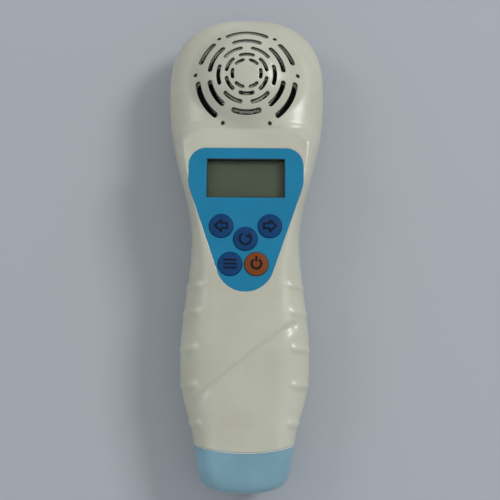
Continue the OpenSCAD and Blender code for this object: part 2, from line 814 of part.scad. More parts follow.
module main_board() {
  color("darkgreen")
    difference() {
      translate([0, 0, board_z - board_t])
        linear_extrude(board_t)
          polygon([
            [-board_low_w / 2, board_low], [board_low_w / 2, board_low],
            [board_low_w / 2, board_waist - board_slant], [board_mid_w / 2, board_waist],
            [board_mid_w / 2, board_step - board_slant], [board_high_w / 2, board_step],
            [board_high_w / 2, board_high], [-board_high_w / 2, board_high],
            [-board_high_w / 2, board_step], [-board_mid_w / 2, board_step - board_slant],
            [-board_mid_w / 2, board_waist], [-board_low_w / 2, board_waist - board_slant]]);
      for (spot = board_screw_spots)
        translate([spot[0], spot[1], board_z - board_t - over])
          cylinder(h = board_t + 2 * over, r = board_pilot_r + shank_gap);
    }
}

// Chips under the board: size, then place from the middle of the display
chips = [[10, 10, 1.4, 0, -8], [6, 5, 1.2, -11, -8], [5, 6, 1.6, 11, -7], [11, 4.5, 3, 0, 6],
  [4, 4, 1, -13, 8]];
module board_chips() {
  color("dimgray")
    for (c = chips)
      translate([c[3] - c[0] / 2, y_display + c[4] - c[1] / 2, board_z - board_t - c[2]])
        cube([c[0], c[1], c[2]]);
}

module switch_bodies() {
  color("silver")
    for (spot = key_spots)
      translate([spot[0], spot[1], board_z])
        difference() {
          translate([-switch_size / 2, -switch_size / 2, 0]) cube([switch_size, switch_size, switch_h]);
          translate([0, 0, switch_h - plunger_sunk - key_travel - plunger_gap])
            cylinder(h = switch_h, d = plunger_d + 2 * plunger_gap);
        }
}

// A key: a round cap with a softly crowned top and two ears that stay under the front
module key(i) {
  top = panel_z + key_proud;
  crown_r = (pow(key_d / 2, 2) + pow(key_crown, 2)) / (2 * key_crown);
  translate([key_spots[i][0], key_spots[i][1], 0]) {
    intersection() {
      translate([0, 0, key_low_z]) cylinder(h = top - key_low_z, d = key_d);
      translate([0, 0, top - crown_r]) sphere(crown_r);
    }
    rotate([0, 0, ear_turns[i]])
      translate([-key_d / 2 - ear_reach, -ear_w / 2, key_low_z])
        cube([key_d + 2 * ear_reach, ear_w, ear_t]);
  }
}
module plunger(i) {
  translate([key_spots[i][0], key_spots[i][1], switch_z - plunger_sunk])
    cylinder(h = key_low_z - switch_z + plunger_sunk, d = plunger_d);
}
module left_key() {
  color("midnightblue") key(0);
}
module right_key() {
  color("midnightblue") key(1);
}
module centre_key() {
  color("midnightblue") key(2);
}
module lower_key() {
  color("midnightblue") key(3);
}
module power_key() {
  color("orangered") key(4);
}
module left_plunger() {
  color("black") plunger(0);
}
module right_plunger() {
  color("black") plunger(1);
}
module centre_plunger() {
  color("black") plunger(2);
}
module lower_plunger() {
  color("black") plunger(3);
}
module power_plunger() {
  color("black") plunger(4);
}

// Loudspeaker
cone_t = 0.5;
cap_r = 5.5;
cone_drop = 6;
cone_low = rim_top - cone_drop;
cap_rise = 1.4;
cap_side_rise = 1.1;
magnet_lap = 1;
cone_edge = speaker_r - rim_w;
cone_r = cone_edge - pilot_gap;
module spun(profile) {
  translate([0, y_speaker, 0]) rotate_extrude() polygon(profile);
}
module speaker_basket() {
  color("dimgray")
    spun([[speaker_r - clip_in - fit_gap, rim_low], [speaker_r, rim_low], [speaker_r, rim_top],
      [cone_edge, rim_top], [cone_edge, rim_low],
      [magnet_r - magnet_lap, frame_low + rim_t], [cap_r + magnet_lap, frame_low + rim_t],
      [cap_r + magnet_lap, frame_low], [magnet_r, frame_low]]);
}
module speaker_magnet() {
  color("silver")
    translate([0, y_speaker, rim_top - speaker_depth])
      cylinder(h = speaker_depth - frame_drop, r = magnet_r);
}
module speaker_cone() {
  color("black")
    spun([[0, cone_low + cap_rise], [cap_r / 2, cone_low + cap_side_rise], [cap_r, cone_low],
      [cone_r, rim_top - cone_t], [cone_r, rim_top], [cap_r, cone_low + cone_t],
      [cap_r / 2, cone_low + cap_side_rise + cone_t], [0, cone_low + cap_rise + cone_t]]);
}
module speaker_gasket() {
  color("black")
    translate([0, y_speaker, rim_top])
      difference() {
        cylinder(h = gasket_t, r = gasket_r);
        translate([0, 0, -over]) cylinder(h = gasket_t + 2 * over, r = cone_edge);
      }
}
module dust_scrim() {
  color("black")
    translate([0, y_speaker, rim_top + gasket_t]) cylinder(h = scrim_t, r = gasket_r);
}
module speaker_clips() {
  color("silver")
    at_clips()
      difference() {
        translate([speaker_r - clip_in, -clip_w / 2, rim_low - clip_t])
          cube([clip_end - speaker_r + clip_in, clip_w, clip_t]);
        translate([clip_r, 0, rim_low - clip_t - over])
          cylinder(h = clip_t + 2 * over, r = clip_pilot_r + shank_gap);
      }
}

// Pan-head screw that points up, with its seat at z = 0
module screw(head_r, head_h, shank_r, length) {
  translate([0, 0, -head_h]) cylinder(h = head_h, r = head_r);
  cylinder(h = length, r = shank_r);
}
module clip_screws() {
  color("silver")
    at_clips()
      translate([clip_r, 0, rim_low - clip_t])
        screw(clip_head_r, clip_head_h, clip_pilot_r, clip_t + clip_bite);
}
module shell_screws() {
  color("silver")
    mirrored_pair()
      for (spot = shell_screw_spots)
        translate([spot[0], spot[1], shell_seat_z])
          screw(shell_head_r, shell_head_h, shell_pilot_r, part_z - shell_seat_z + shell_bite);
}
module board_screws() {
  color("silver")
    for (spot = board_screw_spots)
      translate([spot[0], spot[1], board_z - board_t])
        screw(board_head_r, board_head_h, board_pilot_r, board_t + board_bite);
}

// Cells with their plates and springs
nub_r = 2.75;
nub_h = 1.2;
plate_half_w = 6.4;
plate_gap = 0.5;
plate_low = back_at(cell_x + plate_half_w, bay_low, wall) + plate_gap;
spring_turns = 3.5;
spring_wire_r = 0.4;
spring_big_r = 4.6;
spring_small_r = 3;
spring_sides = 6;
spring_steps = 42;
module cell() {
  rotate([-90, 0, 0]) {
    cylinder(h = cell_len - nub_h, d = cell_d);
    cylinder(h = cell_len, r = nub_r);
  }
}
module left_cell() {
  color("seagreen")
    translate([-cell_x, bay_low + plate_t + spring_len, cell_z]) cell();
}
module right_cell() {
  color("seagreen")
    translate([cell_x, bay_high - plate_t - spring_len, cell_z])
      rotate([0, 0, 180]) cell();
}
module cell_plates() {
  color("silver") {
    mirrored_pair()
      translate([cell_x - plate_half_w, bay_low, plate_low])
        cube([2 * plate_half_w, plate_t, bay_wall_top - plate_low]);
    translate([-cell_x - plate_half_w, bay_high - plate_t, plate_low])
      cube([2 * (cell_x + plate_half_w), plate_t, bay_wall_top - plate_low]);
  }
}
module spring() {
  points = [for (i = [0 : spring_steps])
    let (t = i / spring_steps, a = 360 * spring_turns * t, r = mix(spring_big_r, spring_small_r, t))
    [r * cos(a), mix(spring_wire_r, spring_len - spring_wire_r, t), r * sin(a)]];
  tube(points, [for (p = points) spring_wire_r], spring_sides);
}
module cell_springs() {
  color("silver") {
    translate([-cell_x, bay_low + plate_t, cell_z]) spring();
    translate([cell_x, bay_high - plate_t, cell_z]) rotate([0, 0, 180]) spring();
  }
}

// Wires inside: each ends against what it is soldered to
wire_r = 0.5;
wire_z = (cell_z + cell_d / 2 + board_z - board_t) / 2;
solder_z = board_z - board_t - wire_r;
solder_in = 3;
lead_x = 5;
lead_end_x = 8;
lead_end_in = 6;
lead_z = (frame_low + rim_top - speaker_depth) / 2;
wire_turn = min(bay_high, board_low);
lead_y = y_speaker - sqrt(pow(magnet_r, 2) - pow(lead_x - wire_r, 2)) - pilot_gap;
battery_wire_x = 11;
battery_end_x = 9;
battery_wire_up = 1.6;
antenna_wire_x = 3;
antenna_wire_down = 2;
module speaker_wires() {
  color("red")
    for (side = [-1, 1])
      wire([
        [side * lead_x, lead_y, lead_z],
        [side * lead_x, board_high, lead_z],
        [side * lead_end_x, board_high - lead_end_in, solder_z]], wire_r);
}
module battery_wires() {
  color("red")
    for (side = [-1, 1])
      wire([
        [side * cell_x, bay_low - wire_r + plate_t / 2, bay_wall_top + wire_r],
        [side * battery_wire_x, bay_low + battery_wire_up, wire_z],
        [side * battery_wire_x, wire_turn, wire_z],
        [side * battery_end_x, board_low + solder_in, solder_z]], wire_r);
}
module antenna_wires() {
  color("orange")
    for (side = [-1, 1])
      wire([
        [side * antenna_wire_x, y_antenna + winding_r + wire_r, z_antenna],
        [side * antenna_wire_x, bay_low - antenna_wire_down, wire_z],
        [side * antenna_wire_x, wire_turn, wire_z],
        [side * antenna_wire_x, board_low + solder_in, solder_z]], wire_r);
}

front_shell();
rear_shell();
nose_cap();
nose_seal();
fascia_label();
display_window();
display_glass();
display_frame();
contact_strips();
main_board();
board_chips();
switch_bodies();
left_key();
right_key();
centre_key();
lower_key();
power_key();
left_plunger();
right_plunger();
centre_plunger();
lower_plunger();
power_plunger();
speaker_basket();
speaker_magnet();
speaker_cone();
speaker_gasket();
dust_scrim();
speaker_clips();
clip_screws();
antenna_core();
antenna_bobbin();
antenna_winding();
left_cell();
right_cell();
cell_springs();
cell_plates();
battery_door();
shell_screws();
board_screws();
speaker_wires();
battery_wires();
antenna_wires();
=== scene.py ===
"""Looks of a hand-held microchip scanner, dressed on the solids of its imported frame.

Lengths are in millimetres until a mesh is written, and the axes are those of the frame:
X across, Y towards the loudspeaker head and Z out of the front face.
"""

import json
import logging
import math
from dataclasses import dataclass, field
from enum import Enum
from functools import partial
from typing import Callable

import bpy
import numpy as np
from mathutils import Matrix, Vector, geometry


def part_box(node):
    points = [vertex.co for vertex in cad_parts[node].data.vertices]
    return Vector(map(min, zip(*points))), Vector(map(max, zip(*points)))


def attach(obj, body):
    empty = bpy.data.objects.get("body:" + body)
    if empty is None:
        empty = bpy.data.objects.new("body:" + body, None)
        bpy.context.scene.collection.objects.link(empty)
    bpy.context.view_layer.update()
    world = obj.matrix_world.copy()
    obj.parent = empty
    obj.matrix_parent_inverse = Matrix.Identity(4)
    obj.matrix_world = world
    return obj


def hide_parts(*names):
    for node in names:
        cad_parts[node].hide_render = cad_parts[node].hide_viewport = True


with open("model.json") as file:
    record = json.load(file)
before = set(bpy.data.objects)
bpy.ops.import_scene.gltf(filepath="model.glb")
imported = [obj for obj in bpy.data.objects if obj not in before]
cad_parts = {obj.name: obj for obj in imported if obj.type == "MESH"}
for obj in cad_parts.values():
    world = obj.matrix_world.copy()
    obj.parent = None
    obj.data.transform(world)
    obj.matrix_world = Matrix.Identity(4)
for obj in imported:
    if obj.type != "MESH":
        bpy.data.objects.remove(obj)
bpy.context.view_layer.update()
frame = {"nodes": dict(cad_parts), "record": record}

LOG = logging.getLogger("scanner")
MM = 0.001
HOUSING = "housing"
DOOR = "door"
# Least length, in millimetres, that a vector is divided by
TINY = 1e-6

Array = np.ndarray
Distance = Callable[[Array], Array]
Steps = tuple[int, int]


def mix(a: float | Array, b: float | Array, t: float | Array) -> float | Array:
    """Returns the value that lies a share t of the way from a to b."""
    return a + (b - a) * t


def smooth(t: Array) -> Array:
    """Returns an S-shaped rise from 0 to 1 as t goes from 0 to 1."""
    u = np.clip(t, 0, 1)
    return u * u * (3 - 2 * u)


def arch(t: Array, power: float) -> Array:
    """Returns the height of a squared-off quarter arch at a share t of its run."""
    return np.maximum(0, 1 - np.maximum(t, 0) ** power) ** (1 / power)


def soft_step(a: Array, b: Array, soften: float, side: int) -> Array:
    """Returns the larger (side 1) or smaller (side -1) of two values with a rounded changeover."""
    return (a + b + side * np.sqrt((a - b) ** 2 + soften)) / 2


@dataclass
class HousingForm:
    """Outer form of the housing, with the driving sizes of the moulded shells in millimetres."""

    nose_len: float = 18.7
    taper_len: float = 36.1
    grip_len: float = 48.0
    neck_len: float = 64.5
    crown_len: float = 32.7
    joint_sag: float = 2.9
    head_w: float = 65.8
    waist_w: float = 45.0
    grip_w: float = 53.2
    joint_w: float = 40.8
    tip_w: float = 35.6
    crest_w: float = 24.6
    panel_z: float = 32.0
    part_z: float = 17.0
    joint_z: float = 28.5
    tip_z: float = 25.5
    joint_back_z: float = 2.5
    tip_back_z: float = 5.5
    dome_rise: float = 8.0
    wall: float = 2.2
    seal_t: float = 0.5
    speaker_up: float = 1.7
    dome_r: float = 30.0
    dome_soft: float = 2.0
    label_w: float = 47.6
    label_len: float = 60.0
    label_up: float = 36.8
    label_tip_r: float = 12.0
    label_corner_r: float = 7.5
    label_flank_r: float = 13.4
    label_t: float = 0.4
    crown_power: float = 2.55
    neck_power: float = 1.25
    taper_power: float = 1.5
    front_roll: float = 30.0
    front_power: float = 2.2
    back_roll: float = 22.0
    back_power: float = 2.4
    lift_len: float = 7.5
    crest_fall: float = 4.0
    end_trim: float = 0.05
    label_margin: float = 1.4
    least_shoulder: float = 2.4
    soften: float = 4.0
    head_flat: float = 0.3
    fade_len: float = 10.0
    back_shoulder: float = 9.0
    back_parts: float = 3.0
    tip_power_w: float = 7.0
    tip_power_z: float = 5.0
    tip_share: float = 0.9995

    def __post_init__(self) -> None:
        """Works out the places along the length, with the middle of the length at 0."""
        lengths = (self.nose_len, self.taper_len, self.grip_len, self.neck_len, self.crown_len)
        self.y_top = sum(lengths) / 2
        self.y_joint = self.nose_len - self.y_top
        self.y_start = self.y_joint + self.seal_t
        self.y_grip = self.y_joint + self.taper_len
        self.y_waist = self.y_grip + self.grip_len
        self.y_head = self.y_waist + self.neck_len
        self.y_speaker = self.y_head + self.speaker_up
        self.y_label_top = self.y_waist + self.label_up
        self.y_label_end = self.y_label_top - self.label_len

    def half_width(self, y: Array) -> Array:
        """Returns half the width of the housing at places along its length."""
        crown_t = (y - self.y_head) / (self.crown_len + self.end_trim)
        neck_t = np.clip((self.y_head - y) / self.neck_len, 0, 1) ** self.neck_power
        taper_t = np.clip((self.y_grip - y) / self.taper_len, 0, 1) ** self.taper_power
        crown = self.head_w * arch(crown_t, self.crown_power)
        neck = mix(self.head_w, self.waist_w, smooth(neck_t))
        grip = mix(self.waist_w, self.grip_w, smooth((self.y_waist - y) / self.grip_len))
        taper = mix(self.grip_w, self.joint_w, smooth(taper_t))
        zones = [y >= self.y_head, y >= self.y_waist, y >= self.y_grip]
        return np.select(zones, [crown, neck, grip], taper) / 2

    def crest_half(self, y: Array) -> Array:
        """Returns half the width of the flat crest of the front."""
        tip_y = self.y_label_end + self.label_tip_r
        flank_y = self.y_label_top - self.label_flank_r
        flank = mix(self.label_tip_r, self.label_w / 2, (y - tip_y) / (flank_y - tip_y))
        width = self.half_width(y)
        most = width - self.least_shoulder
        limit = soft_step(most, self.label_w / 2 + self.label_margin, self.soften, -1)
        crest = soft_step(self.crest_w / 2, flank + self.label_margin, self.soften, 1)
        body = np.minimum(soft_step(crest, limit, self.soften, -1), most)
        fade = smooth((y - self.y_label_top - self.wall) / self.fade_len)
        return mix(body, self.head_flat * width, fade)

    def front_z(self, y: Array) -> Array:
        """Returns the height of the front crest, without the loudspeaker dome."""
        roll = (y - self.y_top + self.front_roll) / (self.front_roll + self.end_trim)
        crest_y = self.y_label_end - self.crest_fall
        fall = smooth((crest_y - y) / (crest_y - self.y_joint))
        head = mix(self.part_z, self.panel_z, arch(roll, self.front_power))
        return np.where(roll > 0, head, mix(self.panel_z, self.joint_z, fall))

    def back_z(self, y: Array) -> Array:
        """Returns the height of the back."""
        roll = (y - self.y_top + self.back_roll) / (self.back_roll + self.end_trim)
        lift = self.joint_back_z * smooth((self.y_joint + self.lift_len - y) / self.lift_len)
        return np.where(roll > 0, mix(self.part_z, 0, arch(roll, self.back_power)), lift)

    def domed(self, face: Array, x: Array, y: Array, inset: float) -> Array:
        """Returns the height of the front face with the grille dome blended into it."""
        rest = (self.dome_r - inset) ** 2 - x**2 - (y - self.y_speaker) ** 2
        cap = self.panel_z + self.dome_rise - self.dome_r + np.sqrt(np.maximum(rest, 0))
        blend = np.maximum(self.dome_soft - np.abs(face - cap), 0) ** 2 / (4 * self.dome_soft)
        return np.maximum(face, cap) + blend

    def back_flat(self, w: Array) -> Array:
        """Returns half the width of the flat of the back."""
        return np.maximum(w - self.back_shoulder, w / self.back_parts)

    def sagged(self, y: Array, share: Array) -> Array:
        """Returns places along the length, bowed towards the nose in the middle of the joint."""
        sag = self.joint_sag * (1 - smooth((y - self.y_joint) / self.taper_len))
        return y - sag * (1 - share**2)

    def section(self, w: Array, flat: Array, steps: Steps) -> tuple[Array, Array, Array]:
        """Runs over half a section from left to right at each place along the length.

        Args:
            w: Half width at each place.
            flat: Half width of the flat part at each place.
            steps: Steps from the middle to the edge of the flat part, and round each shoulder.

        Returns:
            The places across, the share of the full height, and the angle round the shoulder.
        """
        crest, shoulder = steps
        k = np.arange(-crest - shoulder, crest + shoulder + 1)
        j = np.abs(k)
        angle = np.where(j < crest, 90.0, 90.0 * (crest + shoulder - j) / shoulder)
        turn = np.radians(angle)
        across = flat[:, None] * np.minimum(j, crest) / crest + (w - flat)[:, None] * np.cos(turn)
        height, angle = (np.broadcast_to(row, across.shape) for row in (np.sin(turn), angle))
        return np.sign(k) * across, height, angle

    def front(self, y: Array, inset: float, steps: Steps) -> tuple[Array, Array]:
        """Makes the front shell's surface, moved inwards by an inset.

        Args:
            y: Places along the length.
            inset: Distance inside the outer surface.
            steps: Steps across half the crest and round each shoulder.

        Returns:
            The points by row and column, and the shoulder angle of each.
        """
        w = self.half_width(y) - inset
        flat = np.minimum(self.crest_half(y), w - self.least_shoulder / 2)
        x, share, angle = self.section(w, flat, steps)
        row = np.broadcast_to(y[:, None], x.shape)
        face = mix(self.part_z, self.front_z(row) - inset, share)
        z = self.domed(face, x, row, inset)
        return np.stack([x, self.sagged(row, x / (w + inset)[:, None]), z], axis=-1), angle

    def back(self, y: Array, inset: float, steps: Steps) -> Array:
        """Returns the points of the rear shell's surface, as front does for the front shell."""
        w = self.half_width(y) - inset
        x, share, _ = self.section(w, self.back_flat(w), steps)
        row = np.broadcast_to(y[:, None], x.shape)
        z = mix(self.part_z, self.back_z(row) + inset, share)
        return np.stack([x, self.sagged(row, x / (w + inset)[:, None]), z], axis=-1)

    def nose(self, share: Array, inset: float, steps: Steps) -> Array:
        """Returns closed rings of points of the nose cap.

        Args:
            share: Shares of the way from the joint to the tip, one for each ring.
            inset: Distance inside the outer surface.
            steps: Steps across half the crest and round each shoulder.
        """
        t = share * self.tip_share
        y = self.y_joint - share * (self.nose_len - self.joint_sag - inset)
        broad = mix(self.joint_w, self.tip_w, t) / 2
        full = broad * arch(t, self.tip_power_w)
        w = full - inset
        joint = np.array([self.y_joint])
        ratio = self.crest_half(joint)[0] / self.half_width(joint)[0]
        flat = np.minimum(full * ratio, w - self.least_shoulder / 2)
        rise = arch(t, self.tip_power_z)
        top = mix(self.part_z, mix(self.joint_z, self.tip_z, t), rise) - inset
        low = mix(self.part_z, mix(self.joint_back_z, self.tip_back_z, t), rise) + inset
        halves = []
        for height, half_flat in ((top, flat), (low, self.back_flat(w))):
            x, part, _ = self.section(w, half_flat, steps)
            bowed = y[:, None] - self.joint_sag * (1 - (x / broad[:, None]) ** 2)
            halves.append(np.stack([x, bowed, mix(self.part_z, height[:, None], part)], axis=-1))
        return np.concatenate([halves[0], halves[1][:, -2:0:-1]], axis=1)


FORM = HousingForm()


def linear(code: str) -> tuple[float, float, float, float]:
    """Returns the linear colour of an sRGB hex code such as 8FA0B1, with full alpha."""
    parts = [int(code[i : i + 2], 16) / 255 for i in (0, 2, 4)]
    return *(c / 12.92 if c <= 0.04045 else ((c + 0.055) / 1.055) ** 2.4 for c in parts), 1.0


def per_metre(size_mm: float) -> float:
    """Returns the texture scale at which a pattern repeats about once in a real size."""
    return 1 / (size_mm * MM)


def add_node(
    tree: bpy.types.NodeTree, kind: str, inputs: dict, **settings: object
) -> bpy.types.Node:
    """Adds a node to a tree.

    Args:
        tree: Shader or geometry tree.
        kind: Node type, such as ShaderNodeTexNoise.
        inputs: Values or output sockets for the inputs, by name or index.
        settings: Properties of the node itself.

    Returns:
        The new node.
    """
    node = tree.nodes.new(kind)
    for key, value in settings.items():
        setattr(node, key, value)
    for key, value in inputs.items():
        socket = node.inputs[key]
        if isinstance(value, bpy.types.NodeSocket):
            tree.links.new(value, socket)
        else:
            socket.default_value = value
    return node


class Surface(Enum):
    """How the outermost layer of a material was made."""

    MOULDED = "moulded"
    PRINTED = "printed"
    ROLLED = "rolled"
    WOVEN = "woven"


@dataclass(frozen=True)
class Finish:
    """A material: what it is, how its surface was made and what that gives the eye."""

    name: str
    colour: str
    shade: str
    roughness: float
    surface: Surface = Surface.MOULDED
    ior: float = 1.5
    metallic: float = 0.0
    coat: float = 0.0
    alpha: float = 1.0
    mottle_mm: float = 12.0
    grain_mm: float = 0.35
    relief_mm: float = 0.004
    gloss_spread: float = 0.05
    least_rough: float = 0.02
    coat_rough: float = 0.16
    cloud_detail: float = 4.0
    cloud_rough: float = 0.55
    cloud_span: tuple[float, float] = (0.35, 0.65)
    grain_detail: float = 3.0
    print_detail: float = 1.0
    wave_factor: float = 20.0
    drawn_scale: tuple[float, float, float] = (1.0, 0.08, 1.0)

    def material(self) -> bpy.types.Material:
        """Builds the material, or returns it where it has been built already."""
        label = f"{self.surface.value}_{self.name}"
        made = bpy.data.materials.get(label)
        if made:
            return made
        made = bpy.data.materials.new(label)
        made.use_nodes = True
        made.node_tree.nodes.clear()
        add = partial(add_node, made.node_tree)
        place = add("ShaderNodeTexCoord", {}).outputs["Object"]
        cloud = {"Vector": place, "Scale": per_metre(self.mottle_mm)}
        cloud |= {"Detail": self.cloud_detail, "Roughness": self.cloud_rough}
        tint = {"Value": add("ShaderNodeTexNoise", cloud).outputs["Fac"]}
        tint |= dict(zip(("From Min", "From Max"), self.cloud_span))
        tones = {"Factor": add("ShaderNodeMapRange", tint).outputs["Result"]}
        tones |= {"A": linear(self.shade), "B": linear(self.colour)}
        grain = self.grain(add, place)
        gloss = {
            "Value": grain,
            "To Min": max(self.roughness - self.gloss_spread, self.least_rough),
            "To Max": min(self.roughness + self.gloss_spread, 1.0),
        }
        relief = {"Height": grain, "Distance": self.relief_mm * MM, "Strength": 1.0}
        look = {
            "Base Color": add("ShaderNodeMix", tones, data_type="RGBA").outputs[2],
            "Roughness": add("ShaderNodeMapRange", gloss).outputs["Result"],
            "Normal": add("ShaderNodeBump", relief).outputs["Normal"],
            "IOR": self.ior,
            "Metallic": self.metallic,
            "Coat Weight": self.coat,
            "Coat Roughness": self.coat_rough,
            "Alpha": self.alpha,
        }
        shader = add("ShaderNodeBsdfPrincipled", look)
        add("ShaderNodeOutputMaterial", {"Surface": shader.outputs["BSDF"]})
        return made

    def grain(
        self, add: Callable[..., bpy.types.Node], place: bpy.types.NodeSocket
    ) -> bpy.types.NodeSocket:
        """Adds the fine pattern of the surface.

        Args:
            add: Adds a node to the material's tree.
            place: Object coordinates.

        Returns:
            The socket that carries the pattern's height from 0 to 1.
        """
        scale = per_metre(self.grain_mm)
        if self.surface is Surface.WOVEN:
            thread = {"Vector": place, "Scale": scale / self.wave_factor}
            warp = add("ShaderNodeTexWave", thread).outputs["Fac"]
            weft = add("ShaderNodeTexWave", thread, bands_direction="Y").outputs["Fac"]
            return add("ShaderNodeMath", {0: warp, 1: weft}, operation="MULTIPLY").outputs["Value"]
        if self.surface is Surface.ROLLED:
            drawn = {"Vector": place, "Scale": self.drawn_scale}
            place = add("ShaderNodeMapping", drawn).outputs["Vector"]
        detail = self.print_detail if self.surface is Surface.PRINTED else self.grain_detail
        fine = {"Vector": place, "Scale": scale, "Detail": detail}
        return add("ShaderNodeTexNoise", fine).outputs["Fac"]


# Real mould and film textures are finer than 0.1 mm, so their grain is drawn coarser to show.

# Glossy moulded ABS: warm ivory with a faint cloudiness and a soft, broad shine
IVORY = Finish("ivory_abs", "C2C3B2", "B9B9A7", 0.36, coat=0.2, mottle_mm=26, relief_mm=0.003)
# Painted shade on the walls of the grille's slots: the same ABS, drawn dull, darker and uneven to
# stand in for the shade inside the slots
SLOT_SHADE = Finish("slot_painted_shade", "5C5E56", "4A4C45", 0.75, mottle_mm=1.5, relief_mm=0.006)
# The same moulding compound in light blue
NOSE_BLUE = Finish("blue_abs", "7FAABA", "769FAE", 0.26, coat=0.25, mottle_mm=20, relief_mm=0.003)
# Screen-printed polycarbonate film: even colour under a fine velvet texture
LABEL_BLUE = Finish("label_film", "1F7FA6", "1C7BA1", 0.5, Surface.PRINTED, ior=1.25, grain_mm=0.25)
# Pad-printed keys: deep blue and orange with a satin skin
KEY_BLUE = Finish("blue_key", "0E4172", "0C3B68", 0.42, ior=1.25, mottle_mm=4)
KEY_ORANGE = Finish("orange_key", "80441F", "773D1B", 0.42, ior=1.25, mottle_mm=4)
# Printing ink on the keys: matt, and darker than the key itself
KEY_INK = Finish("key_ink", "071A33", "06162C", 0.5, Surface.PRINTED, ior=1.25, mottle_mm=2)
POWER_INK = Finish("power_ink", "16100D", "120D0B", 0.5, Surface.PRINTED, ior=1.25, mottle_mm=2)
# Reflective display glass: an even, unlit olive
LCD_OLIVE = Finish("lcd_glass", "304221", "2D3E1F", 0.4, Surface.PRINTED, ior=1.3, mottle_mm=9)
# Cast acrylic of the window: polished, and almost nothing but its reflections shows
CLEAR = Finish("clear_acrylic", "C9CFC4", "C4CABF", 0.07, Surface.PRINTED, ior=1.49, alpha=0.05)
# Dark moulded plastic of the display frame, chips and plungers: even and half matt
BLACK = Finish("black_plastic", "26272A", "202124", 0.5, mottle_mm=6, grain_mm=0.2)
# Moulded rubber of the contact strips and the gasket: dull, with a fine bloom
RUBBER = Finish("black_rubber", "2A2B2D", "242527", 0.7, mottle_mm=5, grain_mm=0.15, relief_mm=0.01)
# Pressed paper of the loudspeaker's cone: fibrous and quite matt
PAPER = Finish("black_paper", "232427", "1D1E20", 0.85, mottle_mm=2, grain_mm=0.3, relief_mm=0.02)
# Woven dust scrim behind the grille: black threads that swallow the light
CLOTH = Finish("black_cloth", "1A1B1E", "141517", 0.9, Surface.WOVEN, grain_mm=0.6, relief_mm=0.05)
# Solder resist on glass-fibre board: green and a little glossy
BOARD = Finish("green_board", "1E5A35", "19502E", 0.4, Surface.PRINTED, mottle_mm=5)
# Plated steel of the loudspeaker, springs, plates and screws: bright, with drawing lines
STEEL = Finish("steel", "A9ABAD", "9D9FA1", 0.32, Surface.ROLLED, metallic=1.0, grain_mm=0.2)
# Sintered ferrite of the antenna's core: dark grey, dense and slightly speckled
FERRITE = Finish("ferrite", "3B3C3F", "323336", 0.55, mottle_mm=3)
# Drawn copper wire of the winding: warm and bright
COPPER = Finish("copper", "B0703C", "A56634", 0.35, Surface.ROLLED, metallic=1.0, grain_mm=0.2)
# Shrink film round the cells: smooth green under a clear gloss
WRAP = Finish("cell_wrap", "2F6B4E", "296246", 0.3, coat=0.3, mottle_mm=8)
# Extruded PVC sleeve of the wires: plain red, half matt
SLEEVE = Finish("wire_sleeve", "9A2A24", "90241F", 0.45, mottle_mm=4)
# Silicone seal between the shells and the nose, dull: painted light, drawn near-white so that the
# shade in its recessed joint reads light
SEAL_PAINTED_LIGHT = Finish("joint_seal_painted_light", "DCE1DE", "D3D9D5", 0.6, mottle_mm=5)

SLOT_FINISHES = {
    f.name: f
    for f in (
        IVORY, NOSE_BLUE, LABEL_BLUE, KEY_BLUE, KEY_ORANGE, LCD_OLIVE, CLEAR, BLACK, RUBBER, PAPER,
        CLOTH, BOARD, STEEL, FERRITE, COPPER, WRAP, SLEEVE,
    )
}


def put(name: str, data: bpy.types.ID) -> bpy.types.Object:
    """Returns a new object at the origin of the scene that shows some data."""
    made = bpy.data.objects.new(name, data)
    bpy.context.scene.collection.objects.link(made)
    return made


def write_mesh(name: str, points: Array, faces: list, sharp_deg: float = 42.0) -> bpy.types.Object:
    """Makes an object at the origin from points in millimetres.

    Args:
        name: Name of the piece.
        points: Points, one row each.
        faces: Lists of point numbers.
        sharp_deg: Angle above which an edge stays sharp.

    Returns:
        The new object, in the scene.
    """
    mesh = bpy.data.meshes.new(name)
    mesh.from_pydata((np.asarray(points) * MM).tolist(), [], faces)
    mesh.validate()
    mesh.shade_smooth()
    mesh.set_sharp_from_angle(angle=math.radians(sharp_deg))
    return put(name, mesh)


@dataclass
class Pile:
    """Points and faces of several closed shapes that make up one piece."""

    points: list[Array] = field(default_factory=list)
    faces: list[list[int]] = field(default_factory=list)

    def add(self, points: Array, faces: list[list[int]]) -> None:
        """Adds a shape, whose faces count its own points from 0."""
        base = sum(map(len, self.points))
        self.points.append(points)
        self.faces += [[base + i for i in face] for face in faces]

    def build(self, name: str) -> bpy.types.Object:
        """Returns the piece."""
        return write_mesh(name, np.concatenate(self.points), self.faces)


def dress(
    piece: bpy.types.Object, finish: Finish, body: str, *nodes: str, slot: str = ""
) -> bpy.types.Object:
    """Gives a piece its finish and its body.

    Args:
        piece: The new piece.
        finish: Its material.
        body: Body of the frame that it moves with.
        nodes: Solids that it stands for.
        slot: Record slot, where it isn't named as the finish is; not used.

    Returns:
        The piece.
    """
    piece.data.materials.clear()
    piece.data.materials.append(finish.material())
    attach(piece, body)
    if nodes:
        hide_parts(*nodes)
    LOG.info("%s rides on %s with %d faces", piece.name, body, len(piece.data.polygons))
    return piece


def grid_faces(rows: int, cols: int, closed: bool = False) -> Array:
    """Returns the quads of a grid of points, row by row, closed round where asked."""
    i, j = np.meshgrid(np.arange(rows - 1), np.arange(cols if closed else cols - 1), indexing="ij")
    a = (i * cols + j).ravel()
    b = (i * cols + (j + 1) % cols).ravel()
    return np.stack([a, a + cols, b + cols, b], axis=-1)


def tube_faces(rows: int, cols: int) -> list[list[int]]:
    """Returns the faces of a tube of rings with both of its ends closed."""
    ends = [list(range(cols)), list(range((rows - 1) * cols, rows * cols))[::-1]]
    return grid_faces(rows, cols, closed=True).tolist() + ends


def circle(steps: int) -> Array:
    """Returns points round a circle of radius 1, counter-clockwise."""
    turn = np.linspace(0, 2 * math.pi, steps, endpoint=False)
    return np.stack([np.cos(turn), np.sin(turn)], axis=-1)


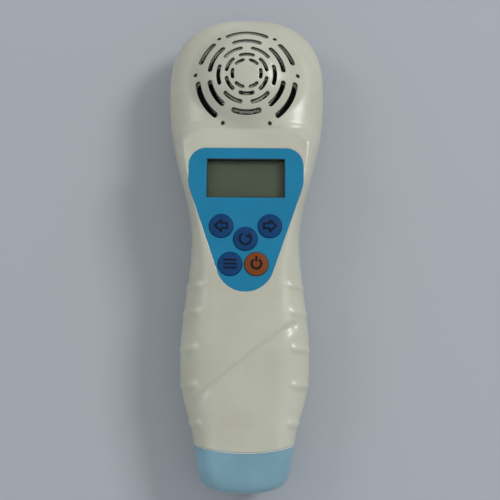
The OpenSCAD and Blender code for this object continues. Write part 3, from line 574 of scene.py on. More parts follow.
def around(profile: Array, x: float, y: float, steps: int) -> Array:
    """Returns a profile of radii and heights, turned round an upright axis ring by ring."""
    plan = (x, y) + profile[:, None, :1] * circle(steps)
    height = np.broadcast_to(profile[:, None, 1:], (len(profile), steps, 1))
    return np.concatenate([plan, height], axis=-1).reshape(-1, 3)


def length(vectors: Array) -> Array:
    """Returns the length of each vector in a column, and never quite 0."""
    return np.maximum(np.linalg.norm(vectors, axis=1, keepdims=True), TINY)


@dataclass
class Sheet:
    """A moulded wall: a grid of outer points, the inner points behind them, and holes through it.

    Attributes:
        outer: Outer points by row and column.
        inner: Inner points by row and column.
        holes: Signed distances across the plan, negative inside a hole.
        pockets: Signed distances of sunk areas, each with its depth.
        chamfer: Softening of the rims of the holes and of the wall's own edges.
        reach_share: Share of a grid step within which points are drawn to a rim.
        probe: Step over which a signed distance's direction is taken.
    """

    outer: Array
    inner: Array
    holes: list[Distance] = field(default_factory=list)
    pockets: list[tuple[Distance, float]] = field(default_factory=list)
    chamfer: float = 0.15
    reach_share: float = 0.52
    probe: float = 1e-3

    def __post_init__(self) -> None:
        """Takes lists of points and the state of each: 1 kept, 0 on a rim, -1 inside a hole."""
        self.rows, self.cols = self.outer.shape[:2]
        self.points = self.outer.reshape(-1, 3).copy()
        self.low = self.inner.reshape(-1, 3).copy()
        self.middle = self.points.copy()
        self.state = np.ones(len(self.points), int)
        self.brink = np.zeros(len(self.points), bool)
        self.reach = self.grid_steps().ravel() * self.reach_share
        self.slope = self.slopes()
        self.rim_edges()
        for pocket, depth in self.pockets:
            near, distance, _, _ = self.draw_to(pocket, 0.0)
            self.points[(distance < 0) & ~near, 2] -= depth
            self.brink |= near
        for hole in self.holes:
            self.snap(hole)

    def grid_steps(self) -> Array:
        """Returns the longest step in plan from each point to the points next to it."""
        longest = np.zeros((self.rows, self.cols))
        for axis in (0, 1):
            size = np.linalg.norm(np.diff(self.outer[..., :2], axis=axis), axis=-1)
            for beside in ((1, 0), (0, 1)):
                pad = [(0, 0), (0, 0)]
                pad[axis] = beside
                longest = np.maximum(longest, np.pad(size, pad))
        return longest

    def slopes(self) -> Array:
        """Returns the rise of the outer surface for a step along X and one along Y, by point."""
        along, across = np.gradient(self.outer, axis=(0, 1))
        normal = np.cross(along, across).reshape(-1, 3)
        down = np.where(np.abs(normal[:, 2]) < TINY, TINY, normal[:, 2])
        return -normal[:, :2] / down[:, None]

    def rim_edges(self) -> None:
        """Softens the outer border of the wall."""
        index = np.arange(len(self.points)).reshape(self.rows, self.cols)
        outer = self.points.copy()
        for side in (index, index[::-1], index.T, index.T[::-1]):
            edge, beside = side[:2]
            for target, goal in ((self.points, outer[beside]), (self.middle, self.low[edge])):
                step = goal - outer[edge]
                size = length(step)
                target[edge] += step / size * np.minimum(self.chamfer, size / 2)

    def draw_to(self, rim: Distance, gap: float) -> tuple[Array, Array, Array, Array]:
        """Moves the points next to a rim onto it, along the surface.

        Args:
            rim: Signed distance of the rim.
            gap: Distance outside the rim at which they come to lie.

        Returns:
            Which points were moved, every point's distance before that, and the direction away
            from the rim and the rise of those that were moved.
        """
        plan = self.points[:, :2]
        distance = rim(plan) - gap
        near = np.abs(distance) <= self.reach
        steps = np.eye(2) * self.probe
        away = np.stack([rim(plan[near] + d) - rim(plan[near] - d) for d in steps], axis=-1)
        away /= length(away)
        move = -distance[near, None] * away
        rise = (self.slope[near] * move).sum(axis=1)
        self.points[near, :2] += move
        self.points[near, 2] += rise
        return near, distance, away, rise

    def snap(self, hole: Distance) -> None:
        """Moves the points next to the rim of a hole onto it, and marks those inside.

        Args:
            hole: Signed distance of the hole.
        """
        near, distance, away, rise = self.draw_to(hole, self.chamfer)
        self.low[near, :2] = self.points[near, :2] - away * self.chamfer
        self.low[near, 2] += rise
        depth = np.sign(self.low[near, 2] - self.points[near, 2])
        self.middle[near, :2] = self.low[near, :2]
        self.middle[near, 2] = self.points[near, 2] + depth * self.chamfer
        self.state[near] = 0
        self.state[(distance < 0) & ~near] = -1

    def inside(self, places: Array) -> Array:
        """Returns which places in plan lie in a hole, its softened rim included."""
        return np.any([hole(places) < self.chamfer for hole in self.holes], axis=0)

    def kept_faces(self) -> list[list[int]]:
        """Returns the outer faces that are left round the holes."""
        quads = grid_faces(self.rows, self.cols)
        state = self.state[quads]
        plain = (state > 0).all(axis=1) | ((state >= 0).all(axis=1) & (state > 0).any(axis=1))
        kept = []
        for quad in quads[plain].tolist():
            a, b, c, d = self.brink[quad]
            if a == c and b == d and a != b:
                quad = quad if a else quad[1:] + quad[:1]
                kept += [quad[:3], quad[:1] + quad[2:]]
            else:
                kept.append(quad)
        mixed = quads[~plain & ((state >= 0).sum(axis=1) >= 3)]
        corners = []
        for quad in mixed.tolist():
            sunk = [i for i, corner in enumerate(quad) if self.state[corner] < 0]
            corners.append(quad[sunk[0] + 1 :] + quad[: sunk[0]] if sunk else quad)
        if corners:
            centres = np.array([self.points[c, :2].mean(axis=0) for c in corners])
            outside = np.array([(self.state[c] > 0).any() for c in corners]) | ~self.inside(centres)
            kept += [c for c, keep in zip(corners, outside) if keep]
        return kept

    def build(self, name: str, flipped: bool) -> bpy.types.Object:
        """Makes the closed wall.

        Args:
            name: Name of the piece.
            flipped: Whether the grid runs so that its faces would point inwards.

        Returns:
            The piece.
        """
        faces = self.kept_faces()
        count = len(self.points)
        edges = {pair: True for face in faces for pair in zip(face, face[1:] + face[:1])}
        rims = [(a, b) for a, b in edges if (b, a) not in edges]
        every = list(faces)
        every += [[i + 2 * count for i in reversed(face)] for face in faces]
        for a, b in rims:
            every.append([b, a, a + count, b + count])
            every.append([b + count, a + count, a + 2 * count, b + 2 * count])
        if flipped:
            every = [face[::-1] for face in every]
        points = np.concatenate([self.points, self.middle, self.low])
        used = np.unique(np.concatenate([np.array(face) for face in every]))
        number = np.zeros(len(points), int)
        number[used] = np.arange(len(used))
        return write_mesh(name, points[used], [number[face].tolist() for face in every])


def disc(x: float, y: float, r: float) -> Distance:
    """Returns the signed distance of a round hole."""
    return lambda p: np.hypot(p[:, 0] - x, p[:, 1] - y) - r


def slab(x: float, y: float, w: float, h: float, corner: float) -> Distance:
    """Returns the signed distance of a rectangular opening with rounded corners."""

    def distance(p: Array) -> Array:
        """Returns the signed distance of each place."""
        q = np.abs(p - (x, y)) - (w / 2 - corner, h / 2 - corner)
        return np.hypot(*np.maximum(q, 0).T) + np.minimum(q.max(axis=1), 0) - corner

    return distance


def arc_slot(x: float, y: float, r: float, width: float, middle: float, half: float) -> Distance:
    """Returns the signed distance of a curved slot with rounded ends.

    Args:
        x: Centre of the arc, across.
        y: Centre of the arc, along.
        r: Radius of the slot's middle line.
        width: Width of the slot.
        middle: Angle of the slot's middle from the top, clockwise, in degrees.
        half: Half the slot's angle, its rounded ends included, in degrees.
    """
    bound = math.radians(half) - width / 2 / r
    turn = math.radians(90 - middle)

    def distance(p: Array) -> Array:
        """Returns the signed distance of each place."""
        d = p - (x, y)
        angle = np.angle(np.exp(1j * (np.arctan2(d[:, 1], d[:, 0]) - turn)))
        held = np.clip(angle, -bound, bound) + turn
        return np.hypot(d[:, 0] - r * np.cos(held), d[:, 1] - r * np.sin(held)) - width / 2

    return distance


def convex(outline: Array, batches: int = 20) -> Distance:
    """Returns the signed distance of a convex outline that runs counter-clockwise.

    Args:
        outline: Corners of the outline.
        batches: Groups in which places are measured, which keeps the arrays small.
    """
    edge = np.roll(outline, -1, axis=0) - outline
    normal = np.stack([edge[:, 1], -edge[:, 0]], axis=-1)
    normal /= length(normal)
    offset = (normal * outline).sum(axis=1)

    def distance(p: Array) -> Array:
        """Returns the signed distance of each place."""
        parts = np.array_split(p, batches)
        return np.concatenate([(part @ normal.T - offset).max(axis=1) for part in parts])

    return distance


def label_outline(gap: float = 0.0, steps: int = 192) -> Array:
    """Returns the outline of the fascia label, counter-clockwise.

    Args:
        gap: Distance by which the outline is drawn in.
        steps: Points round each of its corner circles.
    """
    rounds = [(0.0, FORM.y_label_end + FORM.label_tip_r, FORM.label_tip_r)]
    for side in (-1, 1):
        for r in (FORM.label_flank_r, FORM.label_corner_r):
            rounds.append((side * (FORM.label_w / 2 - r), FORM.y_label_top - r, r))
    dots = np.concatenate([(x, y) + (r - gap) * circle(steps) for x, y, r in rounds])
    ring = dots[geometry.convex_hull_2d([Vector(p) for p in dots])]
    area = np.cross(ring, np.roll(ring, -1, axis=0)).sum()
    return ring if area > 0 else ring[::-1]


@dataclass(frozen=True)
class Key:
    """A round key on the fascia: its body, its solid, its middle, its finish and its ink."""

    body: str
    node: str
    x: float
    y: float
    finish: Finish
    ink: Finish


@dataclass
class Keypad:
    """The five keys with their printed symbols."""

    diameter: float = 9.6
    gap: float = 0.15
    proud: float = 1.0
    crown: float = 0.5
    rim_r: float = 0.35
    foot_r: float = 0.2
    pole_r: float = 0.05
    side_x: float = 9.9
    side_up: float = 3.8
    mid_down: float = 1.5
    low_down: float = 11.8
    low_pitch: float = 10.6
    low_shift: float = 0.8
    stroke: float = 0.9
    ink_t: float = 0.03
    ink_step: float = 0.2
    arrow_tip: float = 2.5
    arrow_neck: float = -0.1
    arrow_wing: float = 2.4
    arrow_stem: float = 1.0
    bar_half: float = 2.7
    bar_pitch: float = 1.6
    ring_span: tuple[float, float] = (60.0, -240.0)
    return_r: float = 2.3
    return_barb: tuple[tuple[float, float], ...] = ((0.2, 0.7), (1.5, 1.7), (1.8, 0.1))
    power_r: float = 1.95
    power_bar: tuple[tuple[float, float], ...] = ((0.0, 0.9), (0.0, 3.2))
    turn_steps: int = 72
    ring_steps: int = 48
    crown_steps: int = 14
    roll_steps: int = 7

    def keys(self) -> list[Key]:
        """Returns the left, right, centre, lower and power key."""
        waist = FORM.y_waist
        places = {
            "left": (-self.side_x, waist + self.side_up),
            "right": (self.side_x, waist + self.side_up),
            "centre": (0.0, waist - self.mid_down),
            "lower": (-self.low_pitch / 2 - self.low_shift, waist - self.low_down),
            "power": (self.low_pitch / 2 - self.low_shift, waist - self.low_down),
        }
        made = []
        for name, place in places.items():
            looks = (KEY_ORANGE, POWER_INK) if name == "power" else (KEY_BLUE, KEY_INK)
            made.append(Key(f"{name}_button", f"{name}_key", *place, *looks))
        return made

    @property
    def hole_r(self) -> float:
        """Returns the radius of the hole that a key passes through."""
        return self.diameter / 2 + self.gap

    @property
    def top(self) -> float:
        """Returns the height of the middle of a key."""
        return FORM.panel_z + self.proud

    def crown_at(self, r: Array) -> Array:
        """Returns the height of a key's crowned top at a distance from its middle."""
        edge = self.diameter / 2
        ball = (edge**2 + self.crown**2) / (2 * self.crown)
        return self.top - ball + np.sqrt(ball**2 - r**2)

    def cap(self, key: Key) -> bpy.types.Object:
        """Makes the cap of a key, turned round its own axis with a rolled rim.

        Args:
            key: The key.

        Returns:
            The piece.
        """
        low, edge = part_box(key.node)[0].z / MM, self.diameter / 2
        rim = edge - self.rim_r
        inner = np.linspace(self.pole_r, rim, self.crown_steps)
        crown = np.stack([inner, self.crown_at(inner)], axis=-1)
        roll = np.radians(np.linspace(90, 0, self.roll_steps))[1:]
        corner = (rim, crown[-1, 1] - self.rim_r)
        rolled = corner + self.rim_r * np.stack([np.cos(roll), np.sin(roll)], axis=-1)
        foot = [[edge, low + self.foot_r], [edge - self.foot_r, low], [self.pole_r, low]]
        profile = np.concatenate([crown, rolled, foot])
        points = around(profile, key.x, key.y, self.turn_steps)
        return write_mesh(key.node + "_cap", points, tube_faces(len(profile), self.turn_steps))

    def symbol(self, body: str) -> list[Array]:
        """Returns the strokes of a key's symbol, round the key's middle.

        Args:
            body: Body of the key.
        """
        turn = np.radians(np.linspace(*self.ring_span, self.ring_steps))
        ring = np.stack([np.cos(turn), np.sin(turn)], axis=-1)
        tip, neck, wing, stem = self.arrow_tip, self.arrow_neck, self.arrow_wing, self.arrow_stem
        head = [[neck, wing], [tip, 0.0], [neck, -wing]]
        tail = [[neck, -stem], [-tip, -stem], [-tip, stem], [neck, stem]]
        arrow = np.array(head + tail + head[:1])
        bars = [
            np.array([[-self.bar_half, y], [self.bar_half, y]])
            for y in (self.bar_pitch, 0.0, -self.bar_pitch)
        ]
        return {
            "left_button": [arrow * (-1, 1)],
            "right_button": [arrow],
            "centre_button": [ring * self.return_r, np.array(self.return_barb)],
            "lower_button": bars,
            "power_button": [ring * self.power_r, np.array(self.power_bar)],
        }[body]

    def ribbon(self, key: Key, line: Array) -> tuple[Array, list[list[int]]]:
        """Lays a stroke of ink on a key's crowned top.

        Args:
            key: The key.
            line: Corners of the stroke's middle line.

        Returns:
            The points and the faces.
        """
        path = [line[0]]
        for a, b in zip(line[:-1], line[1:]):
            count = max(1, int(np.linalg.norm(b - a) / self.ink_step))
            path += [mix(a, b, (i + 1) / count) for i in range(count)]
        dots = np.array(path)
        ahead = np.gradient(dots, axis=0)
        ahead /= length(ahead)
        side = np.stack([-ahead[:, 1], ahead[:, 0]], axis=-1) * self.stroke / 2
        lanes = np.stack([dots + side, dots - side], axis=1).reshape(-1, 2)
        z = self.crown_at(np.hypot(*lanes.T))
        plan = lanes + (key.x, key.y)
        skins = [np.column_stack([plan, z + lift]) for lift in (self.ink_t, -self.ink_t)]
        n = len(plan)
        upper = grid_faces(len(dots), 2)
        rim = [0, *range(2, n, 2), *range(n - 1, 0, -2)]
        faces = upper.tolist() + (upper[:, ::-1] + n).tolist()
        faces += [[a, a + n, b + n, b] for a, b in zip(rim, rim[1:] + rim[:1])]
        return np.concatenate(skins), faces

    def build(self) -> None:
        """Makes every key and its symbol."""
        for key in self.keys():
            dress(self.cap(key), key.finish, key.body, key.node)
            strokes = Pile()
            for line in self.symbol(key.body):
                strokes.add(*self.ribbon(key, line))
            dress(strokes.build(key.node + "_symbol"), key.ink, key.body, slot=key.finish.name)


@dataclass
class Grille:
    """The loudspeaker grille: rings of curved slots and a ring of small holes."""

    inner_rings: tuple[tuple[float, float, float, float], ...] = (
        (5.9, 1.4, 30.0, 22.0),
        (8.4, 1.5, 0.0, 23.0),
        (11.7, 1.6, 30.0, 22.0),
        (15.4, 1.95, 0.0, 23.5),
    )
    ring_slots: int = 6
    outer_r: float = 20.3
    outer_w: float = 2.2
    outer_arcs: tuple[tuple[float, float], ...] = (
        (0.0, 26.0),
        (56.5, 16.0),
        (303.5, 16.0),
        (118.5, 25.0),
        (241.5, 25.0),
    )
    vent_r: float = 21.4
    vent_d: float = 1.7
    vent_angles: tuple[float, ...] = (33.0, 85.0, 153.0)

    def holes(self) -> list[Distance]:
        """Returns the signed distances of every slot and hole."""
        y = FORM.y_speaker
        turns = 360 / self.ring_slots * np.arange(self.ring_slots)
        cut = []
        for r, width, first, half in self.inner_rings:
            cut += [arc_slot(0, y, r, width, first + turn, half) for turn in turns]
        for middle, half in self.outer_arcs:
            cut.append(arc_slot(0, y, self.outer_r, self.outer_w, middle, half))
        for side in (-1, 1):
            for angle in np.radians(self.vent_angles):
                place = (side * self.vent_r * math.sin(angle), y + self.vent_r * math.cos(angle))
                cut.append(disc(*place, self.vent_d / 2))
        return cut


def groove(beside: Array, steep: float, broad: float) -> Array:
    """Returns the depth, up to 1, of a groove with a steep side and a broad one."""
    spread = np.where(beside > 0, broad, steep)
    return np.exp(-((beside / spread) ** 2))


@dataclass
class FrontShell:
    """The moulded front half: grille dome, label pocket, grip bumps and the diagonal crease."""

    handle_rows: int = 125
    head_rows: int = 160
    steps: Steps = (30, 46)
    bump_places: tuple[float, ...] = (28.0, 17.2, 2.5, -12.1, -27.2)
    bump_radii: tuple[float, ...] = (2.2, 2.7, 2.8, 2.8, 2.7)
    bump_middle: float = 37.0
    bump_sweep: float = 31.0
    bump_proud: float = 0.8
    bump_fade: float = 0.38
    bump_power: int = 4
    bump_soften: float = 0.02
    crease_ends: tuple[float, float] = (-22.9, 22.4)
    crease_turn: tuple[float, float] = (11.6, 7.0)
    crease_slope: float = 0.777
    crease_bend: float = 0.018
    crease_depth: float = 0.9
    crease_steep: float = 0.75
    crease_broad: float = 2.0
    crease_fade_rate: float = 20.0
    upright: float = 0.3
    brow_down: float = 21.3
    brow_rise: float = 1.2
    brow_half: float = 27.0
    brow_depth: float = 0.35
    brow_steep: float = 0.7
    brow_broad: float = 1.8
    brow_fade_rate: float = 4.0
    display_w: float = 32.2
    display_h: float = 16.4
    display_up: float = 23.9
    display_corner: float = 0.5

    def rows(self) -> Array:
        """Returns the places along the length, closer together towards the top of the head."""
        neck = FORM.y_label_top + FORM.wall
        handle = np.linspace(FORM.y_start, neck, self.handle_rows, endpoint=False)
        turn = np.linspace(0, math.pi / 2, self.head_rows + 1)
        return np.concatenate([handle, mix(neck, FORM.y_top, np.sin(turn))])

    def relief(self, points: Array, angle: Array) -> Array:
        """Raises the grip bumps and sinks the crease and the line below the dome.

        Args:
            points: Points of the outer surface.
            angle: Shoulder angle of each.

        Returns:
            The points with their relief.
        """
        rise = np.zeros(angle.shape)
        share = np.clip((angle - self.bump_middle) / self.bump_sweep, -1, 1)
        for place, r in zip(self.bump_places, self.bump_radii):
            reach = r * (1 - self.bump_fade * share**self.bump_power)
            off = points[..., 1] - FORM.y_grip - place
            bar = np.sqrt(np.maximum(reach**2 - off**2, 0)) - r + self.bump_proud
            rise = np.maximum(rise, soft_step(bar, np.zeros_like(bar), self.bump_soften, 1))
        left, right = self.crease_ends
        along = (points[..., 0] - left) / (right - left)
        past = points[..., 0] - self.crease_turn[0]
        line = FORM.y_grip + self.crease_turn[1] + self.crease_slope * past
        line -= self.crease_bend * np.maximum(past, 0) ** 2
        beside = (line - points[..., 1]) / math.hypot(1, self.crease_slope)
        depth = groove(beside, self.crease_steep, self.crease_broad) * self.crease_depth
        for end in (along, 1 - along):
            depth = depth * smooth(end * self.crease_fade_rate)
        across = np.abs(points[..., 0]) / self.brow_half
        beside = FORM.y_speaker - self.brow_down + self.brow_rise * across**2 - points[..., 1]
        brow = groove(beside, self.brow_steep, self.brow_broad) * self.brow_depth
        depth = depth + brow * smooth((1 - across) * self.brow_fade_rate)
        turn = np.radians(angle)
        outward = np.sign(points[..., 0]) * np.cos(turn)
        normal = np.stack([outward, np.zeros_like(turn), np.sin(turn)], axis=-1)
        return points + normal * (rise - depth)[..., None]

    @property
    def display_y(self) -> float:
        """Returns the middle of the display along the length."""
        return FORM.y_waist + self.display_up

    def display_hole(self) -> Distance:
        """Returns the opening for the display."""
        size = (self.display_w, self.display_h)
        return slab(0, self.display_y, *size, self.display_corner)

    def build(self, grille: Grille, keypad: Keypad) -> None:
        """Makes the shell.

        Args:
            grille: Slots in the dome.
            keypad: Keys that pass through the front.
        """
        y = self.rows()
        outer, angle = FORM.front(y, 0, self.steps)
        share = (y - FORM.y_start) / (FORM.y_top - FORM.y_start)
        inner_y = mix(FORM.y_start, FORM.y_top - FORM.wall, share)
        inner, _ = FORM.front(inner_y, FORM.wall, self.steps)
        outer, inner = (close_crown(wall) for wall in (self.relief(outer, angle), inner))
        holes = grille.holes() + [self.display_hole()]
        holes += [disc(key.x, key.y, keypad.hole_r) for key in keypad.keys()]
        sheet = Sheet(outer, inner, holes, [(convex(label_outline()), FORM.label_t)])
        shell = dress(sheet.build("front_moulding", flipped=True), IVORY, HOUSING, "front_shell")
        self.paint_slot_shade(shell, grille)

    def paint_slot_shade(self, shell: bpy.types.Object, grille: Grille) -> None:
        """Paints shade on the walls of the grille's slots with a darker finish.

        Args:
            shell: The finished front shell.
            grille: Slots in the dome.
        """
        shell.data.materials.append(SLOT_SHADE.material())
        polygons = shell.data.polygons
        centre, normal = np.empty((2, 3 * len(polygons)))
        polygons.foreach_get("center", centre)
        polygons.foreach_get("normal", normal)
        x, y, _ = centre.reshape(-1, 3).T / MM
        upright = np.abs(normal[2::3]) < self.upright
        near = np.hypot(x, y - FORM.y_speaker) < grille.vent_r + grille.vent_d
        # Upright walls near the grille take the second material, the painted shade of the slots
        polygons.foreach_set("material_index", (upright & near).astype(np.int32))


def close_crown(wall: Array) -> Array:
    """Returns a wall with one more row, which closes the head down to the parting plane."""
    last = wall[-1:].copy()
    last[..., 2] = FORM.part_z
    return np.concatenate([wall, last])


@dataclass
class RearShell:
    """The moulded rear half with the battery opening, the bay's end walls and the screw bosses."""

    rows: int = 210
    steps: Steps = (24, 12)
    door_w: float = 31.8
    door_corner: float = 0.4
    bay_wall_t: float = 1.6
    bay_drop: float = 1.5
    lip_low: float = 2.6
    lip_high: float = 1.0
    screw_spots: tuple[tuple[float, float], ...] = ((23.5, 51.3), (15.2, -13.2))
    seat_r: float = 2.8
    seat_z: float = 5.0
    boss_r: float = 4.0
    bore_r: float = 1.5
    bay: tuple[float, float] = (-73.2, -17.7)
    row_power: float = 0.8
    bay_steps: Steps = (10, 10)
    boss_steps: int = 40

    @property
    def spots(self) -> list[tuple[float, float]]:
        """Returns the middles of the shell screws on both sides."""
        return [(side * x, y) for side in (-1, 1) for x, y in self.screw_spots]

    def wall_points(self, inset: float, y: Array) -> Array:
        """Returns a wall surface at an inset, closed at the top of the head."""
        return close_crown(FORM.back(y, inset, self.steps))

    def build(self) -> None:
        """Makes the shell and what stands up inside it."""
        share = np.sin(np.linspace(0, math.pi / 2, self.rows)) ** self.row_power
        low, high = self.bay[0] + self.lip_low, self.bay[1] - self.lip_high
        holes = [slab(0, (low + high) / 2, self.door_w, high - low, self.door_corner)]
        holes += [disc(x, y, self.seat_r) for x, y in self.spots]
        outer, inner = (
            self.wall_points(inset, mix(FORM.y_start, FORM.y_top - inset, share))
            for inset in (0, FORM.wall)
        )
        sheet = Sheet(outer, inner, holes)
        dress(sheet.build("rear_moulding", flipped=False), IVORY, HOUSING, "rear_shell")
        self.build_inside()

    def build_inside(self) -> None:
        """Makes the bay's end walls and the bosses round the shell screws."""
        ribs = Pile()
        for y in (self.bay[0] - self.bay_wall_t, self.bay[1]):
            faces_y = np.array([y, y + self.bay_wall_t])
            section = FORM.back(faces_y, FORM.wall, self.bay_steps)
            section[..., 1] = faces_y[:, None]
            section[..., 2] = np.minimum(section[..., 2], FORM.part_z - self.bay_drop)
            ribs.add(section.reshape(-1, 3), tube_faces(*section.shape[:2]))
        outline = [
            [self.seat_r, FORM.wall],
            [self.seat_r, self.seat_z],
            [self.bore_r, self.seat_z],
            [self.bore_r, FORM.part_z],
            [self.boss_r, FORM.part_z],
            [self.boss_r, FORM.wall],
        ]
        faces = grid_faces(len(outline) + 1, self.boss_steps, closed=True)
        for x, y in self.spots:
            boss = around(np.array(outline), x, y, self.boss_steps)
            ribs.add(boss, (faces % len(boss)).tolist())
        dress(ribs.build("rear_ribs"), IVORY, HOUSING)


@dataclass
class NoseCap:
    """The light-blue cap over the antenna, closed at its tip."""

    rings: int = 44
    steps: Steps = (22, 14)
    tip_shares: tuple[float, ...] = (0.8, 0.55, 0.3, 0.08)
    edge_r: float = 0.15

    def wall(self, inset: float) -> Array:
        """Returns rings from the tip to the joint at an inset, with the tip drawn together."""
        share = np.sin(np.linspace(math.pi / 2, 0, self.rings))
        rings = FORM.nose(share, inset, self.steps)
        tip, centre = rings[0], np.array([0.0, rings[0][:, 1].min(), FORM.part_z])
        closing = [centre + (tip - centre) * (k, k**2, k) for k in reversed(self.tip_shares)]
        return np.concatenate([closing, rings])

    def build(self) -> None:
        """Makes the cap."""
        outer, inner = self.wall(0), self.wall(FORM.wall)[::-1]
        lip = mix(outer[-1], inner[0], self.edge_r / FORM.wall)
        outer[-1, :, 1] -= self.edge_r
        rings = np.concatenate([outer, lip[None], inner])
        faces = [face[::-1] for face in tube_faces(*rings.shape[:2])]
        cap = write_mesh("nose_moulding", rings.reshape(-1, 3), faces)
        dress(cap, NOSE_BLUE, HOUSING, "nose_cap")


def plain_mesh(name: str, source: bpy.types.Object) -> bpy.types.Object:
    """Turns an object's evaluated shape into a plain mesh object at the origin.

    Args:
        name: Name of the new piece.
        source: Curve or mesh with modifiers, which is removed.

    Returns:
        The new piece.
    """
    depsgraph = bpy.context.evaluated_depsgraph_get()
    mesh = bpy.data.meshes.new_from_object(source.evaluated_get(depsgraph))
    mesh.transform(source.matrix_world)
    mesh.name = name
    bpy.data.objects.remove(source)
    return put(name, mesh)


@dataclass
class FasciaLabel:
    """The printed film in its pocket, cut out for the display and the keys."""

    fit_gap: float = 0.2
    edge_r: float = 0.06
    edge_steps: int = 2
    key_steps: int = 96

    def build(self, shell: FrontShell, keypad: Keypad) -> None:
        """Makes the label.

        Args:
            shell: Shell with the display opening.
            keypad: Keys that pass through the label.
        """
        curve = bpy.data.curves.new("label_flat", "CURVE")
        curve.dimensions = "2D"
        curve.fill_mode = "BOTH"
        curve.extrude = (FORM.label_t / 2 - self.edge_r) * MM
        curve.bevel_depth = self.edge_r * MM
        curve.bevel_resolution = self.edge_steps
        curve.offset = -self.edge_r * MM
        w, h = shell.display_w / 2, shell.display_h / 2
        window = np.array([[w, h], [-w, h], [-w, -h], [w, -h]]) + (0, shell.display_y)
        ring = circle(self.key_steps) * keypad.hole_r
        loops = [label_outline(self.fit_gap), window]
        loops += [ring + (key.x, key.y) for key in keypad.keys()]
        for loop in loops:
            spline = curve.splines.new("POLY")
            spline.points.add(len(loop) - 1)
            spline.use_cyclic_u = True
            spline.points.foreach_set("co", np.pad(loop * MM, ((0, 0), (0, 2))).ravel())
        flat = put("label_flat", curve)
        flat.location.z = (FORM.panel_z - FORM.label_t / 2) * MM
        bpy.context.view_layer.update()
        dress(plain_mesh("label_film_sheet", flat), LABEL_BLUE, HOUSING, "fascia_label")


@dataclass
class Display:
    """A dark sheet lining the display opening, painted shade on its walls; the window and the glass
    are solids of the frame.
    """

    liner_t: float = 0.35
    fit_gap: float = 0.02

    def build(self, shell: FrontShell) -> None:
        """Makes the lining, a dark sheet that paints shade on the walls of the opening.

        Args:
            shell: Shell with the display opening.
        """
        low, high = FORM.panel_z - FORM.wall, FORM.panel_z - FORM.label_t / 2
        y, gap, thick = shell.display_y, self.fit_gap, self.liner_t
        rings = []
        for inset, z in ((gap, low), (gap, high), (thick, high), (thick, low)):
            w, h = shell.display_w / 2 - inset, shell.display_h / 2 - inset
            rings.append([[w, y - h, z], [w, y + h, z], [-w, y + h, z], [-w, y - h, z]])
        points = np.array(rings).reshape(-1, 3)
        faces = grid_faces(len(rings) + 1, len(rings[0]), closed=True) % len(points)
        # Black sheet on the opening's walls: painted shade
        dress(write_mesh("display_shade_liner", points, faces.tolist()), BLACK, HOUSING)


class NodeShape:
    """A geometry-node tree with named sizes, turned into a plain mesh piece."""

    sharp_deg: float = 35.0

    def __init__(self, name: str, sizes: dict[str, float]) -> None:
        """Starts the tree.

        Args:
            name: Name of the tree and of the piece.
            sizes: Named inputs, in millimetres.
        """
        self.name, self.sizes = name, sizes
        self.tree = bpy.data.node_groups.new(name, "GeometryNodeTree")
        sockets = [("Places", "INPUT", "NodeSocketGeometry")]
        sockets += [(size, "INPUT", "NodeSocketFloat") for size in sizes]
        for label, side, kind in (*sockets, ("Shape", "OUTPUT", "NodeSocketGeometry")):
            self.tree.interface.new_socket(label, in_out=side, socket_type=kind)
        self.add = partial(add_node, self.tree)
        self.given = self.add("NodeGroupInput", {}).outputs

    def block(self, *sizes: str) -> bpy.types.NodeSocket:
        """Returns a block with three named sizes."""
        edges = {i: self.given[size] for i, size in enumerate(sizes)}
        size = self.add("ShaderNodeCombineXYZ", edges).outputs[0]
        return self.add("GeometryNodeMeshCube", {"Size": size}).outputs[0]

    def lifted(self, mesh: bpy.types.NodeSocket, size: str, share: float) -> bpy.types.NodeSocket:
        """Returns a shape that is moved along Z by a share of a named size."""
        rise = self.add("ShaderNodeMath", {0: self.given[size], 1: share}, operation="MULTIPLY")
        way = self.add("ShaderNodeCombineXYZ", {2: rise.outputs[0]}).outputs[0]
        return self.add("GeometryNodeTransform", {"Geometry": mesh, "Translation": way}).outputs[0]

    def build(self, shape: bpy.types.NodeSocket, places: Array, finish: Finish) -> bpy.types.Object:
        """Sets a shape on every place and makes the piece.

        Args:
            shape: Socket of the shape that repeats.
            places: Points in millimetres.
            finish: Material of the shape.

        Returns:
            The piece.
        """
        pairs = {"Points": self.given["Places"], "Instance": shape}
        spread = self.add("GeometryNodeInstanceOnPoints", pairs).outputs[0]
        real = self.add("GeometryNodeRealizeInstances", {"Geometry": spread}).outputs[0]
        look = {"Geometry": real, "Material": finish.material()}
        dressed = self.add("GeometryNodeSetMaterial", look).outputs[0]
        self.add("NodeGroupOutput", {"Shape": dressed})
        points = write_mesh(self.name + "_places", places, [])
        modifier = points.modifiers.new(self.name, "NODES")
        modifier.node_group = self.tree
        for item in self.tree.interface.items_tree:
            if item.name in self.sizes:
                modifier[item.identifier] = self.sizes[item.name] * MM
        piece = plain_mesh(self.name, points)
        piece.data.set_sharp_from_angle(angle=math.radians(self.sharp_deg))
        return piece


